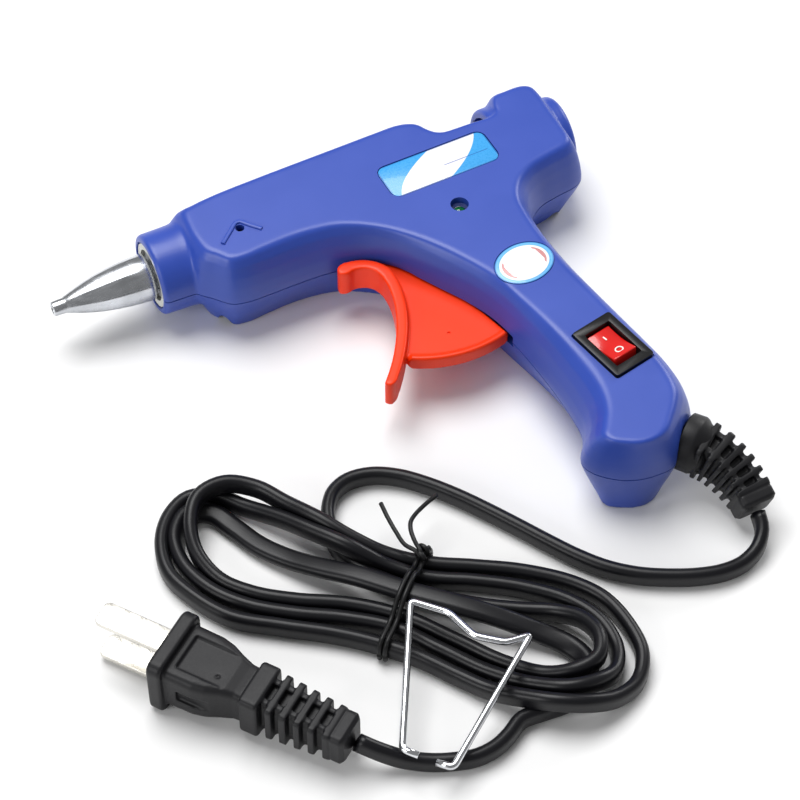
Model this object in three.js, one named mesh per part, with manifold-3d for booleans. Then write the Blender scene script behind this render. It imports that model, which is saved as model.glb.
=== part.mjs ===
// Hot-melt glue gun with its cord, plug and loose wire stand, in millimetres.
// The gun lies on the flat side of its right shell. +X runs along the barrel from the nozzle to
// the rear inlet, +Y towards the top of the gun (the handle hangs towards -Y), and +Z is up.
// The origin is on the flat resting side, straight below the axis of the barrel.

import * as THREE from 'three';
import { mergeVertices } from 'three/addons/utils/BufferGeometryUtils.js';
import Module from 'manifold-3d';

const wasm = await Module();
wasm.setup();

// ---------------------------------------------------------------- driving dimensions

const GAP = 0.3; // clearance kept between neighbouring pieces
const THICKNESS = 26; // across both shells
const MID = THICKNESS / 2; // height of the seam, the barrel axis and the cord gland
const WALL = 2;
const FACE = THICKNESS; // height of the upper flat side, which carries the switch and labels
const EDGE_IN = 4.6; // how far the rounded edge of a shell reaches inwards
const EDGE_DOWN = 8; // and how far it reaches along Z

const COLLAR = { front: -65.8, back: -52, radius: 10.5, bore: 8.7 };
const NOZZLE = { tip: -91.8, base: -65.9, back: -60, tipRadius: 1.9, baseRadius: 6.1, bore: 1 };
const CHAMBER = { front: -64.5, back: -22, radius: 6.4, bore: 4 };
const CHAMBER_RIB = { places: [-56, -25], thick: 1.6 };
const HEATER = { x0: -45.5, x1: -27.5, y0: -9.3, y1: -7.3, half: 3.7 };
const BLOCK = { front: 32.8, back: 47.6, top: 12.5, archRadius: 12.6 };
const BOSS = { back: 50, radius: 9.8, bore: 4.4 };
const SADDLE = { front: 15, top: 3.7, halfWidth: 5.2 };
const STICK_BORE = 4.1; // radius that passes a 7 mm glue stick

const PIVOT = { x: -4, y: -27.5, pin: 1.6, hub: 4, boss: 4.2 };
const TRIGGER = { webRadius: 30.7, webThickness: 3, width: 8, flange: 3.4 };
const ARM = { length: 18, restAngle: 12.5, tipRadius: 2.2 };
const SLOT_HALF = 2.1;
const CLAW_PIVOT = { x: 6.2, y: -8.2, pin: 0.8 };

const SWITCH = {
  x: 21.9, y: -79.2, angle: -77.5, long: 16.6, wide: 11.6, bodyLong: 13.2, bodyWide: 9,
};
const ROCKER = { long: 10.2, wide: 6.8, pivotZ: 23.2, tilt: 9 };
const LABEL = { x: 10.6, y: -7.4, angle: 2.2, long: 30.4, wide: 11, corner: 1.6, thick: 0.4 };
const STICKER = { x: 14.9, y: -46.6, angle: 12, a: 7.9, b: 6.2, thick: 0.25 };
const LABEL_SEAT = FACE - 0.5; // underside of the name plate
const STICKER_SEAT = FACE - 0.2;
const LED = { x: 9.3, y: -22.2, radius: 1.9, hole: 2.3 };
const STAND_HOLE = { x: -43.3, y: -6.1, radius: 1.1 };

const SCREW = { shank: 1.4, head: 2.6, headHeight: 2, boss: 3 };
// Each screw's x, y and the height that its head seats at. The nose slopes, so its seat is deep.
const SCREW_PLACES = [[-49.4, -10.6, 7.5], [40, -13, 4.5], [19.5, -59.5, 4.5], [13.5, -101, 4.5]];

const CORD = { wide: 5.2, thin: 3.3 }; // flat twin cord, lying on its narrow edge
const CORD_Z = CORD.wide / 2 + 0.05;
const GLAND = { x: 28.2, y: -102.2, heading: -52, collar: 7, neck: 4.6, flange: 6.4 };
const RELIEF_SIDE = 9.6; // the ribbed tail of the strain relief is about square
const HANK = { x: -48.1, y: -110.9, heading: -46, halfLength: 59.4, end: 19.3, waist: 14, height: 7 };
const PLUG = {
  x: -76.1, y: -142.3, z: 8.5, heading: 127, flange: [3.8, 18.6, 17], body: 18, collar: 4.5, relief: 21,
};
const BLADE = { spacing: 12.7, width: 6.3, thick: 1.5, length: 17 };
const WIRE_RADIUS = 0.85; // of the stand
const SPRING = { start: 8.6, end: 32.4, y: -8.2, turns: 8, radius: 2.2, wire: 0.35 };
const INNER_WIRE = 0.8;

// ---------------------------------------------------------------- materials

function finish(colour, roughness, metalness) {
  return new THREE.MeshStandardMaterial({ color: colour, roughness, metalness });
}

const BLUE_PLASTIC = finish(0x2f4fc0, 0.42, 0);
const ORANGE_PLASTIC = finish(0xff4a1c, 0.38, 0);
const BLACK_PLASTIC = finish(0x17181b, 0.45, 0);
const RED_PLASTIC = finish(0xd8201c, 0.3, 0);
const NATURAL_PLASTIC = finish(0xdfe0da, 0.5, 0);
const BLACK_RUBBER = finish(0x141416, 0.5, 0);
const SILICONE = finish(0xc8583c, 0.6, 0);
const CERAMIC = finish(0xcfc3a8, 0.7, 0);
const ALUMINIUM = finish(0xc4c6c8, 0.35, 1);
const STEEL = finish(0xb9bcc0, 0.3, 1);
const NICKEL = finish(0xdcdad2, 0.22, 1);
const BRASS = finish(0xc9a552, 0.3, 1);
const GREEN_LENS = finish(0x1f8a3c, 0.15, 0);
const LABEL_FILM = finish(0x4aa8e0, 0.35, 0);
const STICKER_FILM = finish(0xeaf2f8, 0.35, 0);

// ---------------------------------------------------------------- solids and booleans

const radians = (degrees) => (degrees * Math.PI) / 180;

function solid(geometry) {
  const bare = geometry.clone();
  bare.deleteAttribute('normal');
  bare.deleteAttribute('uv');
  const merged = mergeVertices(bare, 1e-4);
  return new wasm.Manifold(new wasm.Mesh({
    numProp: 3,
    vertProperties: new Float32Array(merged.attributes.position.array),
    triVerts: new Uint32Array(merged.index.array),
  }));
}

function toGeometry(manifold) {
  const mesh = manifold.getMesh();
  const geometry = new THREE.BufferGeometry();
  geometry.setAttribute('position', new THREE.BufferAttribute(mesh.vertProperties, 3));
  geometry.setIndex(new THREE.BufferAttribute(mesh.triVerts, 1));
  geometry.computeVertexNormals();
  return geometry;
}

const join = (...parts) => parts.reduce((whole, part) => whole.add(part));
const cut = (whole, ...tools) => tools.reduce((rest, tool) => rest.subtract(tool), whole);

function box(x0, x1, y0, y1, z0, z1) {
  const geometry = new THREE.BoxGeometry(x1 - x0, y1 - y0, z1 - z0);
  geometry.translate((x0 + x1) / 2, (y0 + y1) / 2, (z0 + z1) / 2);
  return solid(geometry);
}

function cylinderX(x0, x1, radius, y = 0, z = MID, sides = 24) {
  const geometry = new THREE.CylinderGeometry(radius, radius, x1 - x0, sides);
  geometry.rotateZ(-Math.PI / 2);
  geometry.translate((x0 + x1) / 2, y, z);
  return solid(geometry);
}

function cylinderZ(x, y, z0, z1, radius, sides = 16) {
  const geometry = new THREE.CylinderGeometry(radius, radius, z1 - z0, sides);
  geometry.rotateX(Math.PI / 2);
  geometry.translate(x, y, (z0 + z1) / 2);
  return solid(geometry);
}

// A profile of [distance along X, radius] turned round the barrel axis.
function turnedX(profile, sides = 24) {
  const points = profile.map(([along, radius]) => new THREE.Vector2(radius, along));
  const geometry = new THREE.LatheGeometry(points, sides);
  geometry.rotateZ(-Math.PI / 2);
  geometry.translate(0, 0, MID);
  return solid(geometry);
}

function plate(shape, z0, z1, curveSegments = 8) {
  const geometry = new THREE.ExtrudeGeometry(shape, { depth: z1 - z0, bevelEnabled: false, curveSegments });
  geometry.translate(0, 0, z0);
  return solid(geometry);
}

function polygon(points) {
  return new THREE.Shape(points.map(([x, y]) => new THREE.Vector2(x, y)));
}

function roundedRectangle(long, wide, corner) {
  const [a, b] = [long / 2, wide / 2];
  const shape = new THREE.Shape();
  shape.absarc(a - corner, b - corner, corner, 0, Math.PI / 2);
  shape.absarc(-a + corner, b - corner, corner, Math.PI / 2, Math.PI);
  shape.absarc(-a + corner, -b + corner, corner, Math.PI, 1.5 * Math.PI);
  shape.absarc(a - corner, -b + corner, corner, 1.5 * Math.PI, 2 * Math.PI);
  shape.closePath();
  return shape;
}

// Moves a solid made at the origin to (x, y) and turns it about Z.
function place(part, x, y, degrees = 0, z = 0) {
  return part.rotate([0, 0, degrees]).translate([x, y, z]);
}

// A section swept along a smooth curve through the given points.
function sweep(points, section, steps) {
  const nodes = points.map((point) => new THREE.Vector3(...point));
  const path = new THREE.CatmullRomCurve3(nodes, false, 'centripetal');
  return solid(new THREE.ExtrudeGeometry(section, { steps, bevelEnabled: false, extrudePath: path }));
}

function roundSection(radius, sides) {
  const angles = Array.from({ length: sides }, (_, i) => (2 * Math.PI * i) / sides);
  return polygon(angles.map((angle) => [Math.cos(angle) * radius, Math.sin(angle) * radius]));
}

// An eight-sided flat section, tall along its own x and thin along its own y.
function flatSection(tall, thin) {
  const [a, b, c] = [tall / 2, thin / 2, thin / 4];
  return polygon([[a, -c], [a, c], [a - c, b], [-a + c, b], [-a, c], [-a, -c], [-a + c, -b], [a - c, -b]]);
}

const group = new THREE.Group();

function add(name, manifold, material) {
  const mesh = new THREE.Mesh(toGeometry(manifold), material);
  mesh.name = name;
  group.add(mesh);
}

// ---------------------------------------------------------------- shells

// The outline of both shells at the seam, counter-clockwise from the lower edge of the nose.
function shellOutline() {
  const s = new THREE.Shape();
  s.moveTo(-57.5, -10.6);
  s.lineTo(-54, -13.8);
  s.quadraticCurveTo(-50.5, -18.4, -47, -18.6);
  s.lineTo(-33, -18.4);
  s.bezierCurveTo(-21, -18.2, -11.5, -18, -6.5, -31);
  s.bezierCurveTo(-2, -39, 5, -48, 6.2, -60);
  s.bezierCurveTo(8.2, -68, 8.6, -82, 7.7, -91);
  s.bezierCurveTo(6.5, -95, 4, -96, 3.6, -99.5);
  s.bezierCurveTo(4, -103, 8.5, -106.5, 13.5, -109);
  s.lineTo(22.5, -109.4);
  s.lineTo(34.2, -98.6);
  s.bezierCurveTo(36, -92, 35, -86, 33.8, -81.4);
  s.bezierCurveTo(31, -68, 28, -52, 26.6, -36);
  s.quadraticCurveTo(26.6, -25, 33, -21.4);
  s.lineTo(45.5, -18.6);
  s.quadraticCurveTo(BLOCK.back, -17.5, BLOCK.back, -14);
  s.lineTo(BLOCK.back, BLOCK.top - 4);
  s.quadraticCurveTo(BLOCK.back, BLOCK.top, BLOCK.back - 4, BLOCK.top);
  s.lineTo(BLOCK.front, BLOCK.top);
  s.lineTo(BLOCK.front, SADDLE.top);
  s.lineTo(SADDLE.front + 3, SADDLE.top);
  s.quadraticCurveTo(SADDLE.front, SADDLE.top + 0.5, SADDLE.front - 2, 9);
  s.quadraticCurveTo(SADDLE.front - 3, 13.3, 8, 13.3);
  s.lineTo(-33, 11.4);
  s.lineTo(-57.5, 9.6);
  s.closePath();
  return s;
}

// Moves every edge of a counter-clockwise outline inwards by `distance`. Edges that would turn
// round, at corners tighter than that, are dropped and their neighbours meet instead.
function insetOutline(points, distance) {
  let edges = points.map((from, i) => {
    const along = points[(i + 1) % points.length].clone().sub(from);
    const direction = along.normalize();
    const inwards = new THREE.Vector2(-direction.y, direction.x).multiplyScalar(distance);
    return { direction, start: from.clone().add(inwards) };
  });
  const meet = (a, b) => {
    const cross = a.direction.cross(b.direction);
    if (Math.abs(cross) < 1e-3) return b.start.clone();
    const reach = b.start.clone().sub(a.start).cross(b.direction) / cross;
    return a.start.clone().addScaledVector(a.direction, reach);
  };
  for (;;) {
    const count = edges.length;
    const corners = edges.map((edge, i) => meet(edges[(i + count - 1) % count], edge));
    const sides = corners.map((corner, i) => corners[(i + 1) % count].clone().sub(corner));
    const spans = sides.map((side, i) => side.dot(edges[i].direction));
    const worst = spans.indexOf(Math.min(...spans));
    if (spans[worst] > 0.05) return corners;
    edges = edges.filter((_, i) => i !== worst);
  }
}

// Both shells as one body with rounded edges, shrunk all round by `inset`.
function bodySolid(inset) {
  const face = insetOutline(distinct(shellOutline().getPoints(4)), EDGE_IN + inset);
  const geometry = new THREE.ExtrudeGeometry(new THREE.Shape(face), {
    depth: THICKNESS - 2 * EDGE_DOWN,
    bevelThickness: EDGE_DOWN - inset,
    bevelSize: EDGE_IN,
    bevelSegments: 2,
  });
  geometry.translate(0, 0, EDGE_DOWN);
  return solid(geometry);
}

function distinct(points) {
  return points.filter((point, i) => point.distanceTo(points[(i + 1) % points.length]) > 0.01);
}

// Wall with a round hole that carries the heating chamber.
function chamberRib(x) {
  const rib = box(x, x + CHAMBER_RIB.thick, -5.5, 8.5, WALL, THICKNESS - WALL);
  return cut(rib, cylinderX(x - 1, x + CHAMBER_RIB.thick + 1, CHAMBER.radius + GAP));
}

// Rails above and below the side wings of the feed carriage.
function carriageRails() {
  const rail = (y, z0, z1) => box(-13, 10.5, y, y + 1.2, z0, z1);
  return join(...[1.35, -2.55].flatMap((y) => [rail(y, 1.8, 5), rail(y, THICKNESS - 5, THICKNESS - 1.8)]));
}

function screwBosses() {
  return join(...SCREW_PLACES.map(([x, y]) => cylinderZ(x, y, 1, THICKNESS - 1, SCREW.boss)));
}

function screwHoles() {
  const reach = SCREW.shank + GAP;
  return join(...SCREW_PLACES.flatMap(([x, y, seat]) => [
    cylinderZ(x, y, -1, seat, SCREW.head + GAP),
    cylinderZ(x, y, 0, THICKNESS - 4, reach),
  ]));
}

// The slot that the trigger's web runs through, along the belly and the front of the handle.
function triggerSlot() {
  const mouth = polygon([[-22, -24], [-22, -15.5], [-8, -15.5], [10, -40], [9.5, -58.7], [-10, -58.7]]);
  return plate(mouth, MID - SLOT_HALF, MID + SLOT_HALF);
}

function stickTunnel() {
  return join(
    cylinderX(BLOCK.front - 4, BLOCK.back - WALL, BLOCK.archRadius - WALL),
    cylinderX(BLOCK.back - 3, BOSS.back + 1, BOSS.bore),
    box(SADDLE.front - 3, BLOCK.front - 1.7, -4, 20, MID - SADDLE.halfWidth, MID + SADDLE.halfWidth),
    cylinderX(COLLAR.front - 1, COLLAR.back + 1, COLLAR.bore),
  );
}

function glandHole() {
  const hole = (length, radius, start) => {
    const geometry = new THREE.CylinderGeometry(radius, radius, length, 24);
    geometry.rotateZ(-Math.PI / 2);
    geometry.translate(start + length / 2, 0, MID);
    return place(solid(geometry), GLAND.x, GLAND.y, GLAND.heading);
  };
  return join(
    hole(14, GLAND.neck + GAP, -7),
    hole(3.4, GLAND.flange + GAP, -4.3),
    hole(9, GLAND.collar + GAP, 1),
  );
}

function switchHole() {
  const opening = roundedRectangle(SWITCH.bodyLong + 2 * GAP, SWITCH.bodyWide + 2 * GAP, 0.5);
  const rim = roundedRectangle(SWITCH.long + 2 * GAP, SWITCH.wide + 2 * GAP, 0.8);
  const through = plate(opening, FACE - 6, FACE + 2, 2);
  const rebate = plate(rim, LABEL_SEAT - GAP, FACE + 2, 2);
  return place(join(through, rebate), SWITCH.x, SWITCH.y, SWITCH.angle);
}

function sideRecesses() {
  const labelRim = roundedRectangle(LABEL.long + 2 * GAP, LABEL.wide + 2 * GAP, LABEL.corner);
  const label = plate(labelRim, LABEL_SEAT - GAP, FACE + 2, 4);
  const oval = plate(ovalShape(STICKER.a + GAP, STICKER.b + GAP), STICKER_SEAT - GAP, FACE + 2);
  return join(
    place(label, LABEL.x, LABEL.y, LABEL.angle),
    place(oval, STICKER.x, STICKER.y, STICKER.angle),
    cylinderZ(LED.x, LED.y, FACE - 6, FACE + 2, LED.hole),
    cylinderZ(STAND_HOLE.x, STAND_HOLE.y, FACE - 6, FACE + 2, STAND_HOLE.radius, 12),
    switchHole(),
  );
}

function ovalShape(a, b) {
  const shape = new THREE.Shape();
  shape.absellipse(0, 0, a, b, 0, 2 * Math.PI, false, 0);
  return shape;
}

function addShells() {
  const outside = join(
    bodySolid(0),
    cylinderX(COLLAR.front, COLLAR.back, COLLAR.radius),
    cylinderX(BLOCK.back - 3, BOSS.back, BOSS.radius),
    cylinderX(BLOCK.front - 1.6, BLOCK.front + 1, BLOCK.archRadius),
  );
  const room = cut(bodySolid(WALL), box(BLOCK.front - 1, BLOCK.front + 1.6, -12, 20, 0, THICKNESS));
  const pivotBoss = cylinderZ(PIVOT.x, PIVOT.y, 1, THICKNESS - 1, PIVOT.boss);
  const ribs = CHAMBER_RIB.places.map(chamberRib);
  const hollow = cut(room, ...ribs, carriageRails(), screwBosses(), pivotBoss);
  const hubRoom = cylinderZ(PIVOT.x, PIVOT.y, MID - 3.8, MID + 3.8, PIVOT.hub + 1.2);
  const pinHole = cylinderZ(PIVOT.x, PIVOT.y, 3, THICKNESS - 3, PIVOT.pin + GAP);
  const both = cut(
    outside, hollow, stickTunnel(), triggerSlot(), glandHole(), screwHoles(), hubRoom, pinHole,
  );
  const left = cut(both, sideRecesses(), box(-100, 100, -150, 50, -1, MID + GAP / 2));
  const right = cut(both, box(-100, 100, -150, 50, MID - GAP / 2, THICKNESS + 1));
  add('left_shell', largest(left), BLUE_PLASTIC);
  add('right_shell', largest(right), BLUE_PLASTIC);
}

function largest(manifold) {
  const pieces = manifold.decompose();
  return pieces.reduce((best, piece) => (piece.volume() > best.volume() ? piece : best));
}

function addScrews() {
  SCREW_PLACES.forEach(([x, y, seat], i) => {
    const under = seat - GAP - SCREW.headHeight;
    const driveSlot = box(x - 2, x + 2, y - 0.3, y + 0.3, under - 1, under + 0.9);
    const head = cylinderZ(x, y, under, seat - GAP, SCREW.head, 16);
    const shank = cylinderZ(x, y, seat - 1, THICKNESS - 4.5, SCREW.shank, 12);
    add(`shell_screw_${i + 1}`, cut(join(head, shank), driveSlot), STEEL);
  });
}

// ---------------------------------------------------------------- melting end

function addNozzle() {
  const { tip, base, back, tipRadius, baseRadius, bore } = NOZZLE;
  const profile = [
    [tip, bore], [tip, tipRadius], [tip + 4.5, 2.5], [tip + 9, 4.1], [tip + 15, 5.5], [tip + 21, 6.1],
    [base, baseRadius], [base + 1, 4], [base + 1.1, 3.6], [back, 3.6], [back, 2.6], [tip + 12, 2.2],
    [tip + 5, bore], [tip, bore],
  ];
  add('nozzle', turnedX(profile), ALUMINIUM);
}

function addChamber() {
  const { front, back, radius, bore } = CHAMBER;
  const tube = turnedX([[front, bore], [front, radius], [back, radius], [back, bore], [front, bore]]);
  const heaterBlock = cut(box(-46, -27, -11, -2, MID - 5, MID + 5), cylinderX(-50, -20, radius - 1));
  const tall = HEATER.half + GAP;
  const pocket = box(-47, -26, HEATER.y0 - GAP, HEATER.y1 + GAP, MID - tall, MID + tall);
  add('heating_chamber', cut(join(tube, heaterBlock), pocket), ALUMINIUM);
  const { x0, x1, y0, y1, half } = HEATER;
  add('heater_element', box(x0, x1, y0, y1, MID - half, MID + half), CERAMIC);
  const strap = box(-42, -31, -12, -6.8, MID - 6, MID + 6);
  const inside = box(-43, -30, -11.3, -6, MID - 5.3, MID + 5.3);
  add('heater_clip', cut(strap, inside), STEEL);
}

function addChamberEnds() {
  const bush = [[-65.5, 6.8], [-65.5, 8.4], [-60.5, 8.4], [-60.5, 6.8], [-65.5, 6.8]];
  add('nozzle_bush', turnedX(bush), NATURAL_PLASTIC);
  const sleeve = [[-21.7, 4.2], [-21.7, 6], [-19, 6], [-17, 5.2], [-12.6, 5.2], [-12.6, 4.2], [-21.7, 4.2]];
  add('inlet_sleeve', turnedX(sleeve), SILICONE);
}

// ---------------------------------------------------------------- trigger and feed

function polar(radius, degrees) {
  return [PIVOT.x + radius * Math.cos(radians(degrees)), PIVOT.y + radius * Math.sin(radians(degrees))];
}

function armTip() {
  return polar(ARM.length, 90 - ARM.restAngle);
}

// The finger flange, a curved strip with a short hook at its top front end.
function flangeShape() {
  const s = new THREE.Shape();
  s.moveTo(-24.2, -23);
  s.quadraticCurveTo(-24.6, -20.2, -21.5, -20);
  s.quadraticCurveTo(-14.4, -20.6, -12, -26.4);
  s.bezierCurveTo(-10.8, -34, -14.4, -47, -25.8, -59.8);
  s.quadraticCurveTo(-28, -61.8, -29, -59.4);
  s.bezierCurveTo(-21, -51, -14.2, -38, -14.9, -28.6);
  s.quadraticCurveTo(-15.4, -23.4, -20.6, -23.2);
  s.quadraticCurveTo(-22.6, -24.4, -24.2, -22.8);
  return s;
}

function webShape() {
  const s = new THREE.Shape();
  s.moveTo(...polar(TRIGGER.webRadius - 2, 237));
  s.absarc(PIVOT.x, PIVOT.y, TRIGGER.webRadius, radians(239), radians(289), false);
  s.lineTo(...polar(6, 300));
  s.lineTo(...polar(5, 60));
  s.lineTo(-12, -20.9);
  s.lineTo(-12.6, -27);
  s.bezierCurveTo(-12, -34, -14.8, -46, polar(28, 237)[0], polar(28, 237)[1]);
  return s;
}

function addTrigger() {
  const flange = plate(flangeShape(), MID - TRIGGER.width / 2, MID + TRIGGER.width / 2);
  const half = TRIGGER.webThickness / 2;
  const web = plate(webShape(), MID - half, MID + half, 12);
  const hub = cylinderZ(PIVOT.x, PIVOT.y, MID - 3.5, MID + 3.5, PIVOT.hub);
  const tip = armTip();
  const bar = box(0, ARM.length, -1.7, 1.7, MID - half, MID + half);
  const arm = place(bar, PIVOT.x, PIVOT.y, 90 - ARM.restAngle);
  const knob = cylinderZ(tip[0], tip[1], MID - half, MID + half, ARM.tipRadius);
  const hole = cylinderZ(PIVOT.x, PIVOT.y, 0, THICKNESS, PIVOT.pin + GAP);
  add('trigger', cut(join(flange, web, hub, arm, knob), hole), ORANGE_PLASTIC);
  add('trigger_pin', cylinderZ(PIVOT.x, PIVOT.y, 3.3, THICKNESS - 3.3, PIVOT.pin, 16), STEEL);
}

function addCarriage() {
  const tip = armTip();
  const reach = ARM.tipRadius + GAP + 0.05;
  const block = join(
    cylinderX(-3.5, 3.5, 6),
    box(-4.6, 8, -9.2, -5, MID - 4, MID + 4),
    box(-4.6, tip[0] - reach, -11.6, -9, MID - 3, MID + 3),
    box(tip[0] + reach, 4.8, -13, -9, MID - 3, MID + 3),
    box(-3.5, 3.5, -1, 1, 2.4, THICKNESS - 2.4),
  );
  const tipRoom = box(tip[0] - reach, tip[0] + reach, -14, -7.2, MID - 2.4, MID + 2.4);
  const clawRoom = box(4.8, 9, -12, -4, MID - 1.5, MID + 1.5);
  const clawBore = cylinderZ(CLAW_PIVOT.x, CLAW_PIVOT.y, 0, THICKNESS, CLAW_PIVOT.pin + GAP, 12);
  const stick = cylinderX(-10, 12, STICK_BORE);
  add('feed_carriage', cut(block, stick, tipRoom, clawRoom, clawBore), NATURAL_PLASTIC);
}

function addClaw() {
  const { x, y, pin } = CLAW_PIVOT;
  const jaw = polygon([
    [x + 1.4, y - 1.6], [x + 1.5, -4.5], [x + 0.8, -4.5], [x - 0.9, -6.4], [x - 1.1, y - 1.6],
  ]);
  const blank = plate(jaw, MID - 1.2, MID + 1.2);
  add('clamp_claw', cut(blank, cylinderZ(x, y, 0, THICKNESS, pin + GAP, 12)), STEEL);
  add('claw_pin', cylinderZ(x, y, MID - 3.9, MID + 3.9, pin, 10), STEEL);
}

// Extension spring from the carriage to the rear wall, below the stick.
function addSpring() {
  const { start, end, y, turns, radius, wire } = SPRING;
  const perTurn = 8;
  const count = turns * perTurn;
  const points = Array.from({ length: count + 1 }, (_, i) => {
    const angle = (2 * Math.PI * i) / perTurn;
    const along = start + ((end - start) * i) / count;
    return [along, y + radius * Math.cos(angle), MID + radius * Math.sin(angle)];
  });
  add('return_spring', sweep(points, roundSection(wire, 4), count), STEEL);
}

// ---------------------------------------------------------------- switch, lamp and wiring

function addSwitch() {
  const bezel = plate(roundedRectangle(SWITCH.long, SWITCH.wide, 0.6), FACE - 0.5, FACE + 0.8, 2);
  const can = plate(roundedRectangle(SWITCH.bodyLong, SWITCH.bodyWide, 0.4), FACE - 12, FACE, 2);
  const well = plate(roundedRectangle(ROCKER.long + 1.6, ROCKER.wide + 0.8, 0.3), FACE - 9, FACE + 2, 2);
  add('switch_body', place(cut(join(bezel, can), well), SWITCH.x, SWITCH.y, SWITCH.angle), BLACK_PLASTIC);

  // Side view of the rocker: two flat halves that meet at a shallow valley over the pivot.
  const half = ROCKER.long / 2;
  const side = polygon([[-half, -3.2], [half, -3.2], [half, 3.4], [0, 2.6], [-half, 3.4]]);
  const geometry = new THREE.ExtrudeGeometry(side, { depth: ROCKER.wide, bevelEnabled: false });
  geometry.translate(0, 0, -ROCKER.wide / 2);
  geometry.rotateX(Math.PI / 2);
  geometry.rotateY(radians(-ROCKER.tilt));
  add('switch_rocker', place(solid(geometry), SWITCH.x, SWITCH.y, SWITCH.angle, ROCKER.pivotZ), RED_PLASTIC);

  [-4, 4].forEach((along, i) => {
    const terminal = box(along - 0.4, along + 0.4, -2.4, 2.4, 7.5, 13.7);
    add(`switch_terminal_${i + 1}`, place(terminal, SWITCH.x, SWITCH.y, SWITCH.angle), BRASS);
  });
}

function addLamp() {
  const lens = cylinderZ(LED.x, LED.y, 19, 24.2, LED.radius, 16);
  add('indicator_lamp', join(lens, cylinderZ(LED.x, LED.y, 18, 19.2, 2.8, 16)), GREEN_LENS);
  add('lamp_resistor', solid(new THREE.CapsuleGeometry(1.1, 4, 3, 10).translate(13.6, -27.5, 20)), CERAMIC);
}

function addInnerWires() {
  const wire = (name, points, material) => {
    add(name, sweep(points, roundSection(INNER_WIRE, 6), 22), material);
  };
  wire('wire_gland_switch', [
    [24, -97.5, 11.6], [20.5, -94, 9], [20.6, -89, 6.3], [21.8, -84.3, 6.2],
  ], BLACK_RUBBER);
  wire('wire_gland_heater', [
    [22.5, -98.5, 11.6], [16, -93, 7.4], [12.9, -84, 5.4], [12.4, -70, 5.3], [12.5, -60, 5.2],
    [13.6, -50, 5.2], [15.4, -40, 5], [9, -24.5, 5], [-8, -18.5, 6], [-20, -14.5, 8.5],
    [-26.1, -10.4, 10],
  ], BLACK_RUBBER);
  wire('wire_switch_heater', [
    [20, -74, 6.2], [16.8, -70, 5], [14.9, -61, 5], [16.4, -51, 5], [18.4, -39, 5], [12, -20.5, 5],
    [-6, -14.5, 5], [-18, -11.5, 8.5], [-26, -7.8, 10.5],
  ], NATURAL_PLASTIC);
}

function addLabels() {
  const film = roundedRectangle(LABEL.long, LABEL.wide, LABEL.corner);
  const label = plate(film, LABEL_SEAT, LABEL_SEAT + LABEL.thick, 4);
  add('name_plate', place(label, LABEL.x, LABEL.y, LABEL.angle), LABEL_FILM);
  const oval = plate(ovalShape(STICKER.a, STICKER.b), STICKER_SEAT, STICKER_SEAT + STICKER.thick);
  add('oval_sticker', place(oval, STICKER.x, STICKER.y, STICKER.angle), STICKER_FILM);
}

// ---------------------------------------------------------------- cord, plug and stand

const RELIEF_PATH = [
  [31, -106, 12.8], [33.6, -110.2, 12.2], [35.8, -115.2, 10.4], [37, -120.6, 8.4], [37.2, -124.2, 7],
];

const LEAD_ROUTE = [
  [37, -125.6, 6.5], [36, -129.6, 5], [33, -132.8, 3.5], [28.4, -134.6, 2.7], [23, -134.8, CORD_Z],
  [17.2, -133.4, CORD_Z], [10.7, -130.6, CORD_Z], [4.3, -126.9, CORD_Z], [-1.4, -122, CORD_Z],
  [-6, -116.2, CORD_Z], [-10.2, -109.6, CORD_Z], [-14.4, -102.6, CORD_Z], [-18.7, -95.6, CORD_Z],
  [-23.2, -88.8, CORD_Z], [-28.2, -82.4, CORD_Z], [-33.6, -77, CORD_Z], [-39.4, -73.6, CORD_Z],
  [-45.4, -72.8, CORD_Z], [-50.2, -74.6, CORD_Z], [-52.4, -77, CORD_Z],
];

const TAIL_ROUTE = [
  [-39.9, -152.2, CORD_Z], [-42.6, -154, CORD_Z], [-46.4, -155, CORD_Z], [-51, -154.9, CORD_Z],
  [-56.4, -153.6, CORD_Z], [-61.8, -151.4, CORD_Z], [-66.6, -148.8, 3.4], [-71.2, -146.1, 5.8],
  [-75.2, -142.9, 7.9],
];

function addStrainRelief() {
  const turned = (profile) => {
    const points = profile.map(([along, radius]) => new THREE.Vector2(radius, along));
    const geometry = new THREE.LatheGeometry(points, 24);
    geometry.rotateZ(-Math.PI / 2);
    geometry.translate(0, 0, MID);
    return place(solid(geometry), GLAND.x, GLAND.y, GLAND.heading);
  };
  const root = turned([
    [-4, 0], [-4, GLAND.flange], [-1.2, GLAND.flange], [-1.2, GLAND.neck], [1.3, GLAND.neck],
    [1.3, GLAND.collar], [5.4, GLAND.collar], [6.6, 6], [6.6, 0],
  ]);
  const tail = sweep(RELIEF_PATH, flatSection(RELIEF_SIDE, RELIEF_SIDE), 8);
  add('strain_relief', join(root, tail), BLACK_RUBBER);
}

function addCord() {
  const section = flatSection(CORD.wide, CORD.thin);
  add('cord_lead', sweep(LEAD_ROUTE, section, 28), BLACK_RUBBER);
  add('cord_tail', sweep(TAIL_ROUTE, section, 12), BLACK_RUBBER);
  const { halfLength, end, waist, height } = HANK;
  const straight = halfLength - end;
  const s = new THREE.Shape();
  s.absarc(straight, 0, end, -Math.PI / 2, Math.PI / 2, false);
  s.bezierCurveTo(straight / 2, end, straight / 3, waist, 0, waist);
  s.bezierCurveTo(-straight / 3, waist, -straight / 2, end, -straight, end);
  s.absarc(-straight, 0, end, Math.PI / 2, 1.5 * Math.PI, false);
  s.bezierCurveTo(-straight / 2, -end, -straight / 3, -waist, 0, -waist);
  s.bezierCurveTo(straight / 3, -waist, straight / 2, -end, straight, -end);
  add('cord_hank', place(plate(s, 0, height, 8), HANK.x, HANK.y, HANK.heading), BLACK_RUBBER);
}

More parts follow.
